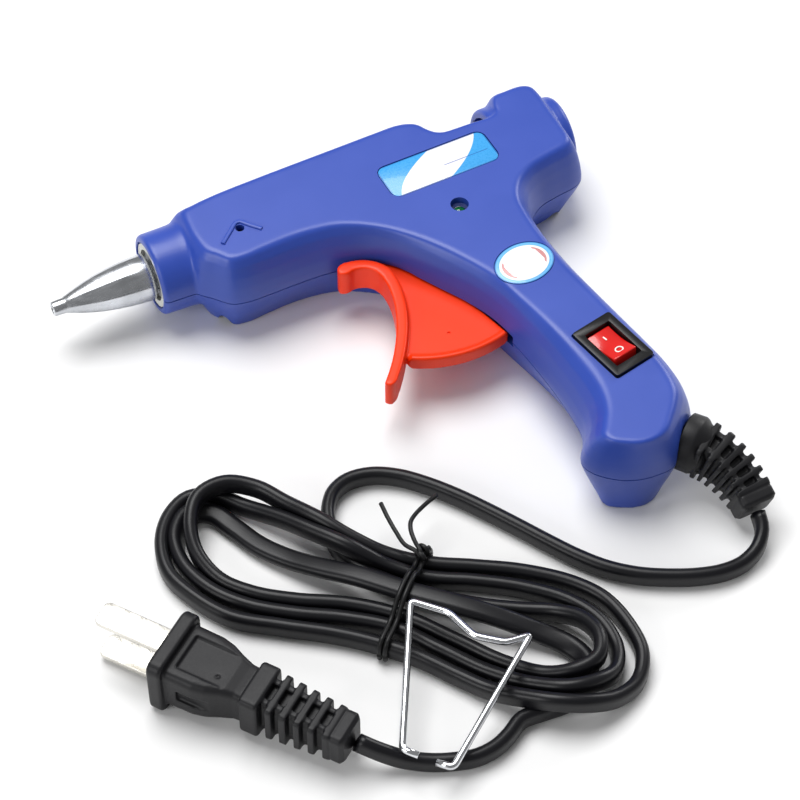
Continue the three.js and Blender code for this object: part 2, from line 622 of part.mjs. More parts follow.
// The tie bridges the waist of the hank, with its twisted tails on top.
function addTie() {
  const [inner, top, band] = [HANK.waist + GAP + 0.2, HANK.height + GAP, 1.2];
  const strap = cut(
    box(-1.2, 1.2, -inner - band, inner + band, 0.5, top + band),
    box(-3, 3, -inner, inner, -1, top),
  );
  const tail = (points) => sweep(points, roundSection(0.7, 6), 8);
  const twist = cylinderZ(0, 9, top, top + 3, 1.6, 10);
  const tails = join(
    tail([[0, 9, top + 1.5], [-3, 14, 9.6], [-9, 18, 7], [-15, 21, 6]]),
    tail([[0, 9, top + 1.5], [3, 15, 9.6], [0, 20, 7.4], [2, 27, 6]]),
  );
  add('cord_tie', place(join(strap, twist, tails), HANK.x, HANK.y, HANK.heading), BLACK_PLASTIC);
}

// Built along +X from the cord to the blades, round z = 0, then laid on the edge of its flange.
function addPlug() {
  const { relief, collar, body, flange } = PLUG;
  const [thick, wide, tall] = flange;
  const ribbed = relief + collar;
  const face = ribbed + body + thick;
  const block = (x0, x1, width, height) => box(x0, x1, -width / 2, width / 2, -height / 2, height / 2);
  const taper = polygon([[1, -4.4], [relief, -5.6], [relief, 5.6], [1, 4.4]]);
  const waisted = polygon([
    [ribbed - 1, -5], [ribbed + 4, -5.6], [ribbed + 8, -7.6], [face - 2, -7.8],
    [face - 2, 7.8], [ribbed + 8, 7.6], [ribbed + 4, 5.6], [ribbed - 1, 5],
  ]);
  const moulding = join(
    plate(taper, -4.6, 4.6),
    block(relief, ribbed, 12.4, 12.4),
    plate(waisted, -6, 6),
    block(face - thick, face, wide, tall),
  );
  const lay = (part) => place(part, PLUG.x, PLUG.y, PLUG.heading, PLUG.z);
  const prong = (side, x0, x1, extra) => {
    const middle = (side * BLADE.spacing) / 2;
    const [across, through] = [BLADE.width / 2 + extra, BLADE.thick / 2 + extra];
    return box(x0, x1, -across, across, middle - through, middle + through);
  };
  const sockets = [-1, 1].map((side) => prong(side, face - thick + 1, face + 1, GAP));
  add('plug_body', lay(cut(moulding, ...sockets)), BLACK_RUBBER);
  [-1, 1].forEach((side, i) => {
    const blade = prong(side, face - thick + 1 + GAP, face + BLADE.length, 0);
    add(`plug_blade_${i + 1}`, lay(blade), NICKEL);
  });
}

// Wire foot: two legs with inward hooks, joined by a bowed cross piece at the top.
const STAND_POINTS = [
  [-64.3, -151.6, 7.6], [-66.9, -148.6, 7.6], [-49.4, -116.4, 12], [-43, -123, 12], [-40.6, -131.2, 12],
  [-35, -135.8, 12], [-29, -136.5, 12], [-58.6, -157.4, 7], [-61.4, -154.6, 7],
];

function addStand() {
  const rod = (a, b) => {
    const [from, to] = [new THREE.Vector3(...a), new THREE.Vector3(...b)];
    const geometry = new THREE.CylinderGeometry(WIRE_RADIUS, WIRE_RADIUS, from.distanceTo(to), 6);
    geometry.applyQuaternion(new THREE.Quaternion().setFromUnitVectors(
      new THREE.Vector3(0, 1, 0), to.clone().sub(from).normalize(),
    ));
    geometry.translate(...from.clone().add(to).multiplyScalar(0.5).toArray());
    return solid(geometry);
  };
  const knuckle = (p) => solid(new THREE.SphereGeometry(WIRE_RADIUS, 6, 4).translate(...p));
  const rods = STAND_POINTS.slice(1).map((point, i) => rod(STAND_POINTS[i], point));
  add('wire_stand', join(...rods, ...STAND_POINTS.slice(1, -1).map(knuckle)), STEEL);
}

addShells();
addScrews();
addNozzle();
addChamber();
addChamberEnds();
addTrigger();
addCarriage();
addClaw();
addSpring();
addSwitch();
addLamp();
addInnerWires();
addLabels();
addStrainRelief();
addCord();
addTie();
addPlug();
addStand();

export default group;
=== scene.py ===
import math

import bmesh
import bpy
import numpy as np
from mathutils import Matrix, Vector


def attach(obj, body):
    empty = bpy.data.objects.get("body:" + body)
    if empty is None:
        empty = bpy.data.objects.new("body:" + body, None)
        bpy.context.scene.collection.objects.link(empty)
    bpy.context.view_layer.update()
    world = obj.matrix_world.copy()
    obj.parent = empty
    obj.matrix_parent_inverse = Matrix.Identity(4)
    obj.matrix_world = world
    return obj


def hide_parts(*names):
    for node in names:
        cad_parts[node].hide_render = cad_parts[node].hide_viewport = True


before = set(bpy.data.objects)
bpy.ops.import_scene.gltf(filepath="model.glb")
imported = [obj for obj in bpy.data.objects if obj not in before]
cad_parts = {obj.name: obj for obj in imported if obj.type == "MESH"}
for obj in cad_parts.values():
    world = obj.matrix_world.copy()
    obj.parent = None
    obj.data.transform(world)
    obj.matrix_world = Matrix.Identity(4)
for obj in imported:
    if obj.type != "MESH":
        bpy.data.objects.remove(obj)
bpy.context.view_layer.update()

# Hot-melt glue gun. All lengths below are millimetres and are scaled once, when a mesh is made.
# +X runs from the nozzle to the rear inlet, +Y to the top of the gun, +Z is up from the table.
MM = 0.001
MID = 13.0  # height of the seam and of the barrel axis
FACE = 26.0  # height of the upper flat side
ABOVE_FACE = FACE + 3  # where the cuts into that side start

# ---------------------------------------------------------------- camera


def add_camera():
    azimuth, elevation = math.radians(-25.5), math.radians(51.0)
    lens, sensor = 122.85, 36.0
    right = Vector((math.cos(azimuth), math.sin(azimuth), 0))
    back = Vector((
        math.sin(azimuth) * math.cos(elevation),
        -math.cos(azimuth) * math.cos(elevation),
        math.sin(elevation),
    ))
    up = back.cross(right)
    place = Vector((-204.6, -436.2, 523.6))
    data = bpy.data.cameras.new("camera")
    data.lens, data.sensor_width = lens, sensor
    data.clip_start, data.clip_end = 0.01, 20
    camera = bpy.data.objects.new("camera", data)
    bpy.context.collection.objects.link(camera)
    turn = Matrix((right, up, back)).transposed().to_4x4()
    camera.matrix_world = Matrix.Translation(place * MM) @ turn
    bpy.context.scene.camera = camera


add_camera()

# ---------------------------------------------------------------- curves


def smooth_path(points, step, closed=False):
    """Samples a centripetal Catmull-Rom curve through the points, about `step` apart."""
    p = np.array(points, float)
    count = len(p)
    if closed:
        p = np.vstack([p[-1], p, p[0], p[1]])
    else:
        p = np.vstack([2 * p[0] - p[1], p, 2 * p[-1] - p[-2]])
    spans = count if closed else count - 1
    out = []
    for i in range(1, spans + 1):
        p0, p1, p2, p3 = p[i - 1], p[i], p[i + 1], p[i + 2]
        d = [max(np.linalg.norm((b - a)[:3]), 1e-6) ** 0.5 for a, b in ((p0, p1), (p1, p2), (p2, p3))]
        m1 = d[1] * ((p1 - p0) / d[0] - (p2 - p0) / (d[0] + d[1]) + (p2 - p1) / d[1])
        m2 = d[1] * ((p2 - p1) / d[1] - (p3 - p1) / (d[1] + d[2]) + (p3 - p2) / d[2])
        steps = max(1, int(round(np.linalg.norm((p2 - p1)[:3]) / step)))
        for k in range(steps):
            t = k / steps
            out.append(
                (2 * t**3 - 3 * t**2 + 1) * p1 + (t**3 - 2 * t**2 + t) * m1
                + (-2 * t**3 + 3 * t**2) * p2 + (t**3 - t**2) * m2
            )
    if not closed:
        out.append(p[-2])
    return np.array(out)


def path_length(points):
    return float(np.linalg.norm(np.diff(points[:, :3], axis=0), axis=1).sum())


def bezier(*points, count=8):
    """Points along a Bezier curve, without its first one."""
    out = []
    for k in range(1, count + 1):
        level = [np.array(p, float) for p in points]
        t = k / count
        while len(level) > 1:
            level = [a * (1 - t) + b * t for a, b in zip(level, level[1:])]
        out.append(tuple(level[0]))
    return out


# ---------------------------------------------------------------- meshes


def new_object(name, verts, faces, smooth=True):
    mesh = bpy.data.meshes.new(name)
    mesh.from_pydata([tuple(c * MM for c in v[:3]) for v in verts], [], faces)
    mesh.validate()
    bm = bmesh.new()
    bm.from_mesh(mesh)
    bmesh.ops.recalc_face_normals(bm, faces=bm.faces)
    bm.to_mesh(mesh)
    bm.free()
    if smooth:
        mesh.shade_smooth()
    obj = bpy.data.objects.new(name, mesh)
    bpy.context.collection.objects.link(obj)
    return obj


def skin(name, rings, smooth=True):
    """A closed skin over rings that all have the same number of points, with a face at each end."""
    size = len(rings[0])
    verts = [p for ring in rings for p in ring]
    faces = []
    for r in range(len(rings) - 1):
        for i in range(size):
            j = (i + 1) % size
            faces.append((r * size + i, r * size + j, (r + 1) * size + j, (r + 1) * size + i))
    faces.append(tuple(reversed(range(size))))
    faces.append(tuple((len(rings) - 1) * size + i for i in range(size)))
    return new_object(name, verts, faces, smooth)


def prism(name, outline, z0, z1):
    return skin(name, [[(x, y, z) for x, y in outline] for z in (z0, z1)], smooth=False)


def block(name, x0, x1, y0, y1, z0, z1):
    return prism(name, [(x0, y0), (x1, y0), (x1, y1), (x0, y1)], z0, z1)


def turned(name, profile, sides=64, flats=None):
    """A profile of (distance along X, radius) turned round the barrel axis."""
    rings = []
    for x, radius in profile:
        ring = []
        for i in range(sides):
            a = 2 * math.pi * i / sides
            r = radius if flats is None else flats(x, radius, a)
            ring.append((x, r * math.cos(a), MID + r * math.sin(a)))
        rings.append(ring)
    return skin(name, rings)


def ellipse(a, b, sides, x=0.0, y=0.0):
    """Points round an ellipse of half sizes a and b."""
    turns = [2 * math.pi * i / sides for i in range(sides)]
    return [(x + a * math.cos(t), y + b * math.sin(t)) for t in turns]


def rod_z(name, x, y, z0, z1, radius, sides=40):
    return prism(name, ellipse(radius, radius, sides, x, y), z0, z1)


def rings_z(name, x, y, profile, sides=32):
    """A round form on an upright axis from (z, radius) pairs."""
    return skin(name, [[(u, v, z) for u, v in ellipse(r, r, sides, x, y)] for z, r in profile])


def rounded_outline(a, b, corner, per_corner=6):
    """A rectangle of half sizes a and b with rounded corners, round the origin."""
    out = []
    for k, (sx, sy) in enumerate(((1, 1), (-1, 1), (-1, -1), (1, -1))):
        for i in range(per_corner + 1):
            angle = math.pi / 2 * (k + i / per_corner)
            out.append((
                sx * (a - corner) + corner * math.cos(angle),
                sy * (b - corner) + corner * math.sin(angle),
            ))
    return out


def turn_outline(outline, x, y, degrees):
    c, s = math.cos(math.radians(degrees)), math.sin(math.radians(degrees))
    return [(x + u * c - v * s, y + u * s + v * c) for u, v in outline]


def frames_along(points):
    """Tangent, side and upright directions at every point of a path that lies on the table."""
    p = np.array(points)[:, :3]
    tangent = np.gradient(p, axis=0)
    tangent /= np.linalg.norm(tangent, axis=1)[:, None]
    side = np.cross(tangent, (0, 0, 1.0))
    side /= np.linalg.norm(side, axis=1)[:, None]
    return tangent, side, np.cross(side, tangent)


def sweep(name, points, section, rolls=None):
    """Sweeps a section of (across, upright) points along a path, turned by `rolls` degrees."""
    _, side, upright = frames_along(points)
    rings = []
    for i, p in enumerate(np.array(points)[:, :3]):
        a = math.radians(0 if rolls is None else rolls[i])
        across = side[i] * math.cos(a) + upright[i] * math.sin(a)
        along = upright[i] * math.cos(a) - side[i] * math.sin(a)
        rings.append([tuple(p + (u * across + v * along)) for u, v in section])
    return skin(name, rings)


def apply_modifiers(obj):
    graph = bpy.context.evaluated_depsgraph_get()
    mesh = bpy.data.meshes.new_from_object(obj.evaluated_get(graph))
    old = obj.data
    obj.modifiers.clear()
    obj.data = mesh
    bpy.data.meshes.remove(old)
    return obj


def combine(obj, tool, operation, solver="EXACT"):
    modifier = obj.modifiers.new("combine", "BOOLEAN")
    modifier.operation, modifier.solver, modifier.object = operation, solver, tool
    apply_modifiers(obj)
    bpy.data.objects.remove(tool)
    return obj


def cut(obj, *tools):
    for tool in tools:
        combine(obj, tool, "DIFFERENCE")
    return obj


def merge(name, parts):
    """Puts the meshes of several parts into one object."""
    bm = bmesh.new()
    for part in parts:
        bm.from_mesh(part.data)
        bpy.data.objects.remove(part)
    mesh = bpy.data.meshes.new(name)
    bm.to_mesh(mesh)
    bm.free()
    obj = bpy.data.objects.new(name, mesh)
    bpy.context.collection.objects.link(obj)
    return obj


def soften(obj, voxel, rounds):
    """Remeshes a solid evenly and relaxes it, which rounds its edges as a moulding's are."""
    remesh = obj.modifiers.new("remesh", "REMESH")
    remesh.mode, remesh.voxel_size = "VOXEL", voxel * MM
    remesh.use_smooth_shade = True
    if rounds:
        smooth = obj.modifiers.new("smooth", "SMOOTH")
        smooth.factor, smooth.iterations = 0.5, rounds
    return apply_modifiers(obj)


def round_edges(obj, width, segments=3, angle=30):
    bevel = obj.modifiers.new("bevel", "BEVEL")
    bevel.width, bevel.segments = width * MM, segments
    bevel.limit_method, bevel.angle_limit = "ANGLE", math.radians(angle)
    apply_modifiers(obj)
    obj.data.shade_smooth()
    return obj


def thin_out(obj, ratio):
    decimate = obj.modifiers.new("decimate", "DECIMATE")
    decimate.ratio = ratio
    apply_modifiers(obj)
    obj.data.shade_smooth()
    return obj


def place(obj, x, y, degrees=0.0, z=0.0):
    """Turns a part made round the origin about Z and moves it to its place."""
    obj.data.transform(
        Matrix.Translation(Vector((x, y, z)) * MM) @ Matrix.Rotation(math.radians(degrees), 4, "Z")
    )
    return obj


# ---------------------------------------------------------------- materials


class Recipe:
    """Node helpers for one procedural material."""

    def __init__(self, name, rough=0.4, metal=0.0, coat=0.0, specular=0.5):
        self.material = bpy.data.materials.new(name)
        self.material.use_nodes = True
        self.tree = self.material.node_tree
        self.shader = self.tree.nodes["Principled BSDF"]
        self.shader.inputs["Roughness"].default_value = rough
        self.shader.inputs["Metallic"].default_value = metal
        self.shader.inputs["Coat Weight"].default_value = coat
        self.shader.inputs["Specular IOR Level"].default_value = specular
        self.coordinates = self.tree.nodes.new("ShaderNodeTexCoord").outputs["Object"]

    def node(self, kind, inputs=None, **settings):
        node = self.tree.nodes.new(kind)
        for key, value in settings.items():
            setattr(node, key, value)
        for key, value in (inputs or {}).items():
            if isinstance(value, bpy.types.NodeSocket):
                self.tree.links.new(value, node.inputs[key])
            else:
                node.inputs[key].default_value = value
        return node

    def noise(self, scale, detail=3.0, rough=0.5, stretch=(1, 1, 1), distortion=0.0):
        """Noise with its scale in features per metre."""
        mapping = self.node("ShaderNodeMapping", {"Vector": self.coordinates, "Scale": stretch})
        return self.node("ShaderNodeTexNoise", {
            "Vector": mapping.outputs[0], "Scale": scale, "Detail": detail, "Roughness": rough,
            "Distortion": distortion,
        }).outputs["Fac"]

    def ramp(self, value, stops):
        node = self.node("ShaderNodeValToRGB", {"Fac": value})
        while len(node.color_ramp.elements) < len(stops):
            node.color_ramp.elements.new(0.5)
        for element, (position, colour) in zip(node.color_ramp.elements, stops):
            element.position = position
            element.color = (*colour, 1)
        return node.outputs["Color"]

    def math(self, operation, a, b=0.0):
        return self.node("ShaderNodeMath", {0: a, 1: b}, operation=operation).outputs[0]

    def remap(self, value, low, high, to_low, to_high):
        return self.node("ShaderNodeMapRange", {
            "Value": value, "From Min": low, "From Max": high, "To Min": to_low, "To Max": to_high,
        }).outputs[0]

    def into(self, name, socket):
        self.tree.links.new(socket, self.shader.inputs[name])

    def bump(self, height, strength, distance):
        values = {"Strength": strength, "Distance": distance * MM, "Height": height}
        node = self.node("ShaderNodeBump", values)
        self.into("Normal", node.outputs[0])


def linear(colour):
    """sRGB values of 0 to 255 as linear ones."""
    return tuple((c / 255 / 12.92) if c <= 10 else ((c / 255 + 0.055) / 1.055) ** 2.4 for c in colour)


def moulded(name, colour, rough=0.4, grain=4500, grain_depth=0.02, vary=0.05, coat=0.0, specular=0.5):
    """Moulded plastic: faint flow marks in the colour, fine spark-eroded grain and uneven gloss."""
    r = Recipe(name, rough, 0, coat, specular)
    base = np.array(linear(colour))
    flow = r.noise(60, 4, 0.55, (1, 1, 0.6), 0.6)
    r.into("Base Color", r.ramp(flow, [
        (0.25, tuple(base * (1 - vary))), (0.5, tuple(base)), (0.75, tuple(base * (1 + vary))),
    ]))
    fine = r.noise(grain, 2, 0.6)
    r.into("Roughness", r.remap(r.math("ADD", flow, fine), 0.6, 1.4, rough * 0.86, rough * 1.16))
    r.bump(fine, 0.22, grain_depth)
    return r.material


def metal(name, colour, rough=0.25, stretch=(1, 1, 1), scale=1500, depth=0.01, low=0.75):
    """Bare metal with fine tool or drawing marks along one direction."""
    r = Recipe(name, rough, 1)
    base = np.array(linear(colour))
    marks = r.noise(scale, 4, 0.6, stretch)
    cloud = r.noise(130, 3, 0.5)
    r.into("Base Color", r.ramp(cloud, [(0.3, tuple(base * low)), (0.62, tuple(base))]))
    r.into("Roughness", r.remap(marks, 0.3, 0.7, rough * 0.7, rough * 1.35))
    r.bump(marks, 0.3, depth)
    return r.material


BLUE = moulded("blue_abs_moulded", (45, 74, 170), 0.36, 3800, 0.03, 0.035)
ORANGE = moulded("orange_abs_moulded", (250, 58, 6), 0.34, 4200, 0.02, 0.03, specular=0.3)
CORD_PVC = moulded("black_pvc_cord", (17, 17, 21), 0.36, 2600, 0.05, 0.12, specular=0.3)
BLACK_PVC = moulded("black_pvc_moulded", (21, 21, 24), 0.46, 2400, 0.05, 0.12, specular=0.3)
BLACK_NYLON = moulded("black_switch_plastic", (16, 16, 18), 0.3, 4200, 0.015, 0.08, specular=0.35)
RED_ROCKER = moulded("red_rocker_plastic", (214, 26, 22), 0.2, 3000, 0.006, 0.04, coat=0.4)
WHITE_PRINT = moulded("white_marking", (240, 238, 232), 0.4, 5000, 0.01, 0.02)
WHITE_NYLON = moulded("natural_nylon", (214, 214, 206), 0.45, 3000, 0.02, 0.05)
CERAMIC = moulded("heater_ceramic", (206, 194, 168), 0.75, 5200, 0.05, 0.08)
SILICONE = moulded("red_silicone", (190, 78, 52), 0.6, 3000, 0.03, 0.08)
RESISTOR = moulded("resistor_lacquer", (196, 176, 140), 0.4, 2600, 0.01, 0.06)
TIE_PLASTIC = moulded("black_tie_plastic", (20, 20, 21), 0.42, 2600, 0.03, 0.15, specular=0.3)
WIRE_BLACK = moulded("black_wire_insulation", (24, 24, 26), 0.5, 2600, 0.02, 0.1)
ALUMINIUM = metal("polished_aluminium", (214, 217, 222), 0.24, (0.15, 1, 1), 1300, 0.012, 0.72)
DIE_CAST = metal("cast_aluminium", (170, 172, 176), 0.5, (1, 1, 1), 900, 0.05, 0.8)
SCREW_STEEL = metal("zinc_plated_steel", (188, 190, 194), 0.3, (1, 1, 0.2), 1800, 0.008)
SPRING_STEEL = metal("spring_steel", (168, 170, 174), 0.28, (1, 1, 1), 2500, 0.006)
BRIGHT_WIRE = metal("bright_drawn_wire", (226, 228, 232), 0.16, (1, 1, 0.3), 1600, 0.004, 0.82)
NICKEL = metal("nickel_plating", (228, 225, 217), 0.3, (1, 0.3, 1), 1200, 0.002, 0.86)
BRASS = metal("terminal_brass", (201, 165, 82), 0.32, (1, 1, 1), 1500, 0.01)

# ---------------------------------------------------------------- cord

CORD_WIDE, CORD_THIN = 5.2, 3.3  # flat twin cord; it lies on its narrow edge
CORD_Z = CORD_WIDE / 2 + 0.05
OVER = CORD_Z + CORD_WIDE  # height of a strand that rides over another
HANK_X, HANK_Y, HANK_HEADING = -48.1, -110.9, -46.0

# x, y, z of the lead from the end of the strain relief to the hank.
LEAD = [
    (37, -125.6, 6.5), (36, -129.6, 5), (33, -132.8, 3.5), (28.4, -134.6, 2.7), (23, -134.8, CORD_Z),
    (17.2, -133.4, CORD_Z), (10.7, -130.6, CORD_Z), (4.3, -126.9, CORD_Z), (-1.4, -122, CORD_Z),
    (-6, -116.2, CORD_Z), (-10.2, -109.6, CORD_Z), (-14.4, -102.6, CORD_Z), (-18.7, -95.6, CORD_Z),
    (-23.2, -88.8, CORD_Z), (-28.2, -82.4, CORD_Z), (-33.6, -77, CORD_Z), (-39.4, -73.6, CORD_Z),
    (-45.2, -72.8, CORD_Z), (-49.8, -74.6, CORD_Z), (-52.9, -78.4, CORD_Z),
]
TAIL = [
    (-42.4, -152.9, CORD_Z), (-46.6, -154.6, CORD_Z), (-51.4, -155, CORD_Z), (-56.4, -153.8, CORD_Z),
    (-61.6, -151.6, CORD_Z), (-66.6, -148.8, 3.4), (-71.2, -146.1, 5.8), (-75.2, -142.9, 7.9),
]

# The hank's turns, clockwise, in its own frame: (along, across, z, roll). A roll of 90 lays the
# cord on its flat side. Strands cross over each other in long low humps.
HANK = [
    # lead in, under the top strands, to the inner right-hand loop
    (-25.2, 15.7, CORD_Z, 0), (-21.5, 10, CORD_Z, 0), (-14.5, 5.8, CORD_Z, 0), (-5, 4.2, CORD_Z, 0),
    (5, 4.2, CORD_Z, 0), (15, 5.2, CORD_Z, 0), (25, 7.4, CORD_Z, 0), (33.3, 9.2, 3.6, 0),
    (40.2, 8.2, 5.8, 0), (45.6, 4, 7.6, 0), (47.2, -1.6, OVER, 0), (44, -6, 7.2, 0),
    (37.4, -8.2, 4.6, 0), (27, -7.8, 3, 0), (14, -5.6, CORD_Z, 0), (1, -3.8, CORD_Z, 0),
    # along the bottom to the second left-hand loop, which rides over two others
    (-12, -4.9, CORD_Z, 0), (-24, -8.2, CORD_Z, 0), (-34, -9.8, CORD_Z, 0), (-43, -8.8, CORD_Z, 0),
    (-50.2, -4.8, 4.4, 0), (-54.4, 1.5, 6.6, 0), (-55.2, 8.2, OVER, 0), (-51, 14, OVER, 0),
    (-43.5, 16, 7, 0), (-35.4, 14.4, 6.8, 0), (-26.1, 12, OVER, 0), (-17.3, 10.6, 6.2, 0),
    (-9, 10.6, 4, 0), (1.2, 12.2, 2.9, 0),
    # the outer right-hand loop
    (11.7, 15.3, CORD_Z, 0), (22.8, 18, CORD_Z, 0), (34.5, 18.9, CORD_Z, 0), (43, 17.2, CORD_Z, 0),
    (51.1, 11.5, CORD_Z, 0), (55.7, 5.6, CORD_Z, 0), (56.8, -1.6, CORD_Z, 0), (53.9, -8.6, 4.4, 0),
    (48.4, -13.9, 7.2, 0), (41.6, -16.5, OVER, 0), (34.7, -16.8, 6.2, 0), (26.7, -16.1, 3.6, 0),
    (18.4, -14.6, CORD_Z, 0), (8, -13, CORD_Z, 0), (-2, -12.8, CORD_Z, 0),
    # the outer left-hand loop
    (-12, -13.7, CORD_Z, 0), (-24.7, -16.1, CORD_Z, 0), (-36.2, -17.8, CORD_Z, 0),
    (-47.1, -15.3, CORD_Z, 0), (-54.8, -11.2, CORD_Z, 0), (-60, -3.3, CORD_Z, 0),
    (-61.1, 4.5, CORD_Z, 0), (-59, 10.4, CORD_Z, 0), (-53, 13.2, CORD_Z, 0), (-45, 12.4, 3.2, 0),
    (-35, 10.8, 5.4, 0), (-26, 8.7, 7.2, 0), (-17.6, 7.3, OVER, 0), (-8, 7.5, 4.2, 0),
    # the second right-hand loop
    (2, 8.4, CORD_Z, 0), (13.2, 11.4, CORD_Z, 0), (24.4, 13.6, CORD_Z, 0), (35.4, 13.8, CORD_Z, 0),
    (43.9, 11, CORD_Z, 0), (49.6, 5.4, CORD_Z, 0), (51.4, -1.5, 4.2, 0), (49, -7.6, 7.2, 0),
    (43.6, -11.8, OVER, 0), (35, -12.6, 5.4, 0), (24, -11.4, 3, 0), (12, -9.3, CORD_Z, 0),
    (0, -7.4, CORD_Z, 0), (-11.5, -8.9, CORD_Z, 0), (-22.5, -11.7, CORD_Z, 0),
    (-34.1, -13.4, CORD_Z, 0), (-44, -12.2, CORD_Z, 0), (-52.6, -7.6, CORD_Z, 6),
    # the third left-hand loop; from here the cord twists and its flat side faces up
    (-57.4, -0.8, CORD_Z, 20), (-57.2, 6.2, CORD_Z, 45), (-52.2, 8.6, 2.3, 75), (-46, 6.8, 2.0, 88),
    (-38.2, 3.9, 2.2, 90), (-30, 2.3, 3, 90), (-21, 1.3, 5, 90), (-12, 0.9, 6.8, 90),
    (0.9, 0.7, 7.1, 90), (12.7, 1.3, 7, 90), (23, 2.2, 5.6, 90), (32, 2.9, 3.4, 84),
    (39.6, 2.4, 2.4, 60), (45, -1, CORD_Z, 25), (46.8, -6.6, CORD_Z, 5), (44.2, -12, CORD_Z, 0),
    (39.6, -16.4, CORD_Z, 0), (35.4, -20.4, CORD_Z, 0),
]


def hank_to_world(u, v):
    c, s = math.cos(math.radians(HANK_HEADING)), math.sin(math.radians(HANK_HEADING))
    return HANK_X + u * c - v * s, HANK_Y + u * s + v * c


def cord_route():
    hank = [(*hank_to_world(u, v), z, roll) for u, v, z, roll in HANK]
    return smooth_path([(*p, 0) for p in LEAD] + hank + [(*p, 0) for p in TAIL], 1.4)


def cord_section():
    """Two cores under one flat sheath make a rounded oblong."""
    half = CORD_THIN / 2
    return rounded_outline(half, CORD_WIDE / 2, half * 0.98, 5)


def add_cord():
    route = cord_route()
    cord = sweep("mains_cord", route, cord_section(), rolls=route[:, 3])
    cord.data.materials.append(CORD_PVC)
    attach(cord, "housing")
    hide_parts("cord_lead", "cord_hank", "cord_tail")
    return cord, route


cord, cord_path = add_cord()
print("cord length mm", round(path_length(cord_path), 1))

# ---------------------------------------------------------------- shells

# Round the gun, counter-clockwise from the lower front corner of the nose: the seam line and,
# beside it, the edge of the flat side, as (seam x, seam y, edge x, edge y).
STATIONS = [
    (-57.5, -10.6, -52.8, -8.5), (-54.6, -13.8, -50.8, -11.2), (-51, -17.6, -49, -13.6),
    (-47, -18.7, -45.5, -14.2), (-40, -18.7, -40.1, -13.6), (-33, -18.5, -33, -13.1),
    (-26, -18.6, -26.8, -13.5), (-19.6, -19.6, -21.4, -14.6), (-14, -21.9, -16.2, -17.2),
    (-9.5, -26, -10.8, -21), (-6.5, -31, -6, -25.4), (-3, -37, -1.4, -31), (1, -43.8, 3.2, -38.6),
    (4.3, -51.4, 6.8, -45.8), (6.2, -60, 9.2, -54.8), (7.4, -70, 11.8, -65), (8, -80, 13.8, -75.5),
    (8, -87, 14.8, -84), (7.6, -91.5, 14.2, -90.6), (6.2, -94.8, 12.6, -95.6),
    (4.2, -97.4, 10.2, -99.6), (3.6, -99.8, 8.2, -102.2), (5, -103, 8.6, -104.4),
    (9, -106.8, 11.4, -106.4), (13.5, -109, 14.6, -107.8), (18, -109.7, 18.3, -107.8),
    (22.5, -109.4, 21.2, -106.2), (26.4, -106.6, 23.8, -103.4), (30.5, -102.6, 26.6, -99.8),
    (33.4, -98.8, 28.2, -96.6), (34.8, -94, 28.8, -92), (34.9, -87, 28.6, -86),
    (33.8, -81.4, 27.6, -78), (32, -72, 26.1, -69), (30, -62, 24.5, -59), (28.3, -52, 23, -50),
    (27.2, -43, 22.2, -41), (26.6, -36, 22.2, -33), (26.9, -29.5, 23.2, -25.4),
    (29, -24.6, 26.2, -20.4), (33, -21.4, 31, -17.2), (39, -19.8, 38, -15.4),
    (44.5, -18.8, 42.8, -14.2), (47.2, -17, 44.2, -12.4), (47.7, -13, 44.4, -9),
    (47.7, -3, 44.4, -3), (47.7, 6, 44.4, 3.6), (47.2, 10.6, 43.6, 6.8), (44.5, 12.6, 41.5, 7.8),
    (38, 12.6, 37.4, 7.8), (33.8, 12.6, 34.4, 7.2), (32.8, 11.5, 33, 5), (32.6, 4.4, 32.2, 2.8),
    (31, 3.4, 31, 2), (24, 3.4, 24, 2), (20, 3.4, 20, 2), (17.4, 3.5, 17.2, 2.1),
    (15.6, 4.4, 15.2, 2.8), (14.4, 7, 13.2, 4.8), (13.4, 10, 11.8, 7), (12, 12.4, 9.8, 8),
    (8, 13.3, 6.8, 8.8), (0, 13, 0, 8.7), (-10, 12.5, -10, 8.3), (-20, 12, -20, 7.9),
    (-33, 11.4, -33, 7.3), (-45, 10.6, -44, 6.6), (-53, 10, -49.8, 5.6), (-57.5, 9.6, -52.9, 4.4),
    (-58.3, 5, -53.6, 0), (-58.5, -4, -53.6, -4.6),
]
# How the side falls from the edge of the flat (0, 1) to the seam (1, 0), and from there to the
# lower flat, which tucks under sooner.
SIDE = [
    (0, 1), (0.1, 0.992), (0.26, 0.945), (0.5, 0.81), (0.72, 0.6), (0.89, 0.35), (0.98, 0.14), (1, 0),
]
LOWER_SIDE = [
    (0.93, -0.1), (0.8, -0.25), (0.6, -0.45), (0.38, -0.65), (0.2, -0.82), (0.08, -0.95), (0, -1),
]
WALL = 2.0
SEAM_GAP = 0.16  # from the middle of the seam to each shell's edge
# x, y and heading in degrees.
SWITCH = (21.9, -79.2, -77.5)
LABEL = (10.6, -7.4, 2.2)
STICKER = (14.9, -46.6, 12.0)
GLAND = (28.2, -102.2, -52.0)
# x and y.
LED = (9.3, -22.2)
STAND_HOLE = (-43.3, -6.1)
PIVOT = (-4.0, -27.5)  # the trigger's pin
# x, y and the height of the seat of each screw's head.
SCREWS = [(-49.4, -10.6, 7.5), (40, -13, 4.5), (19.5, -59.5, 4.5), (13.5, -101, 4.5)]
COLLAR_FRONT, NOSE_BORE_BACK, NOSE_BORE = -65.8, -50, 8.7
BLOCK_FRONT, BLOCK_BACK, BOSS_BACK = 32.8, 47.6, 50.0


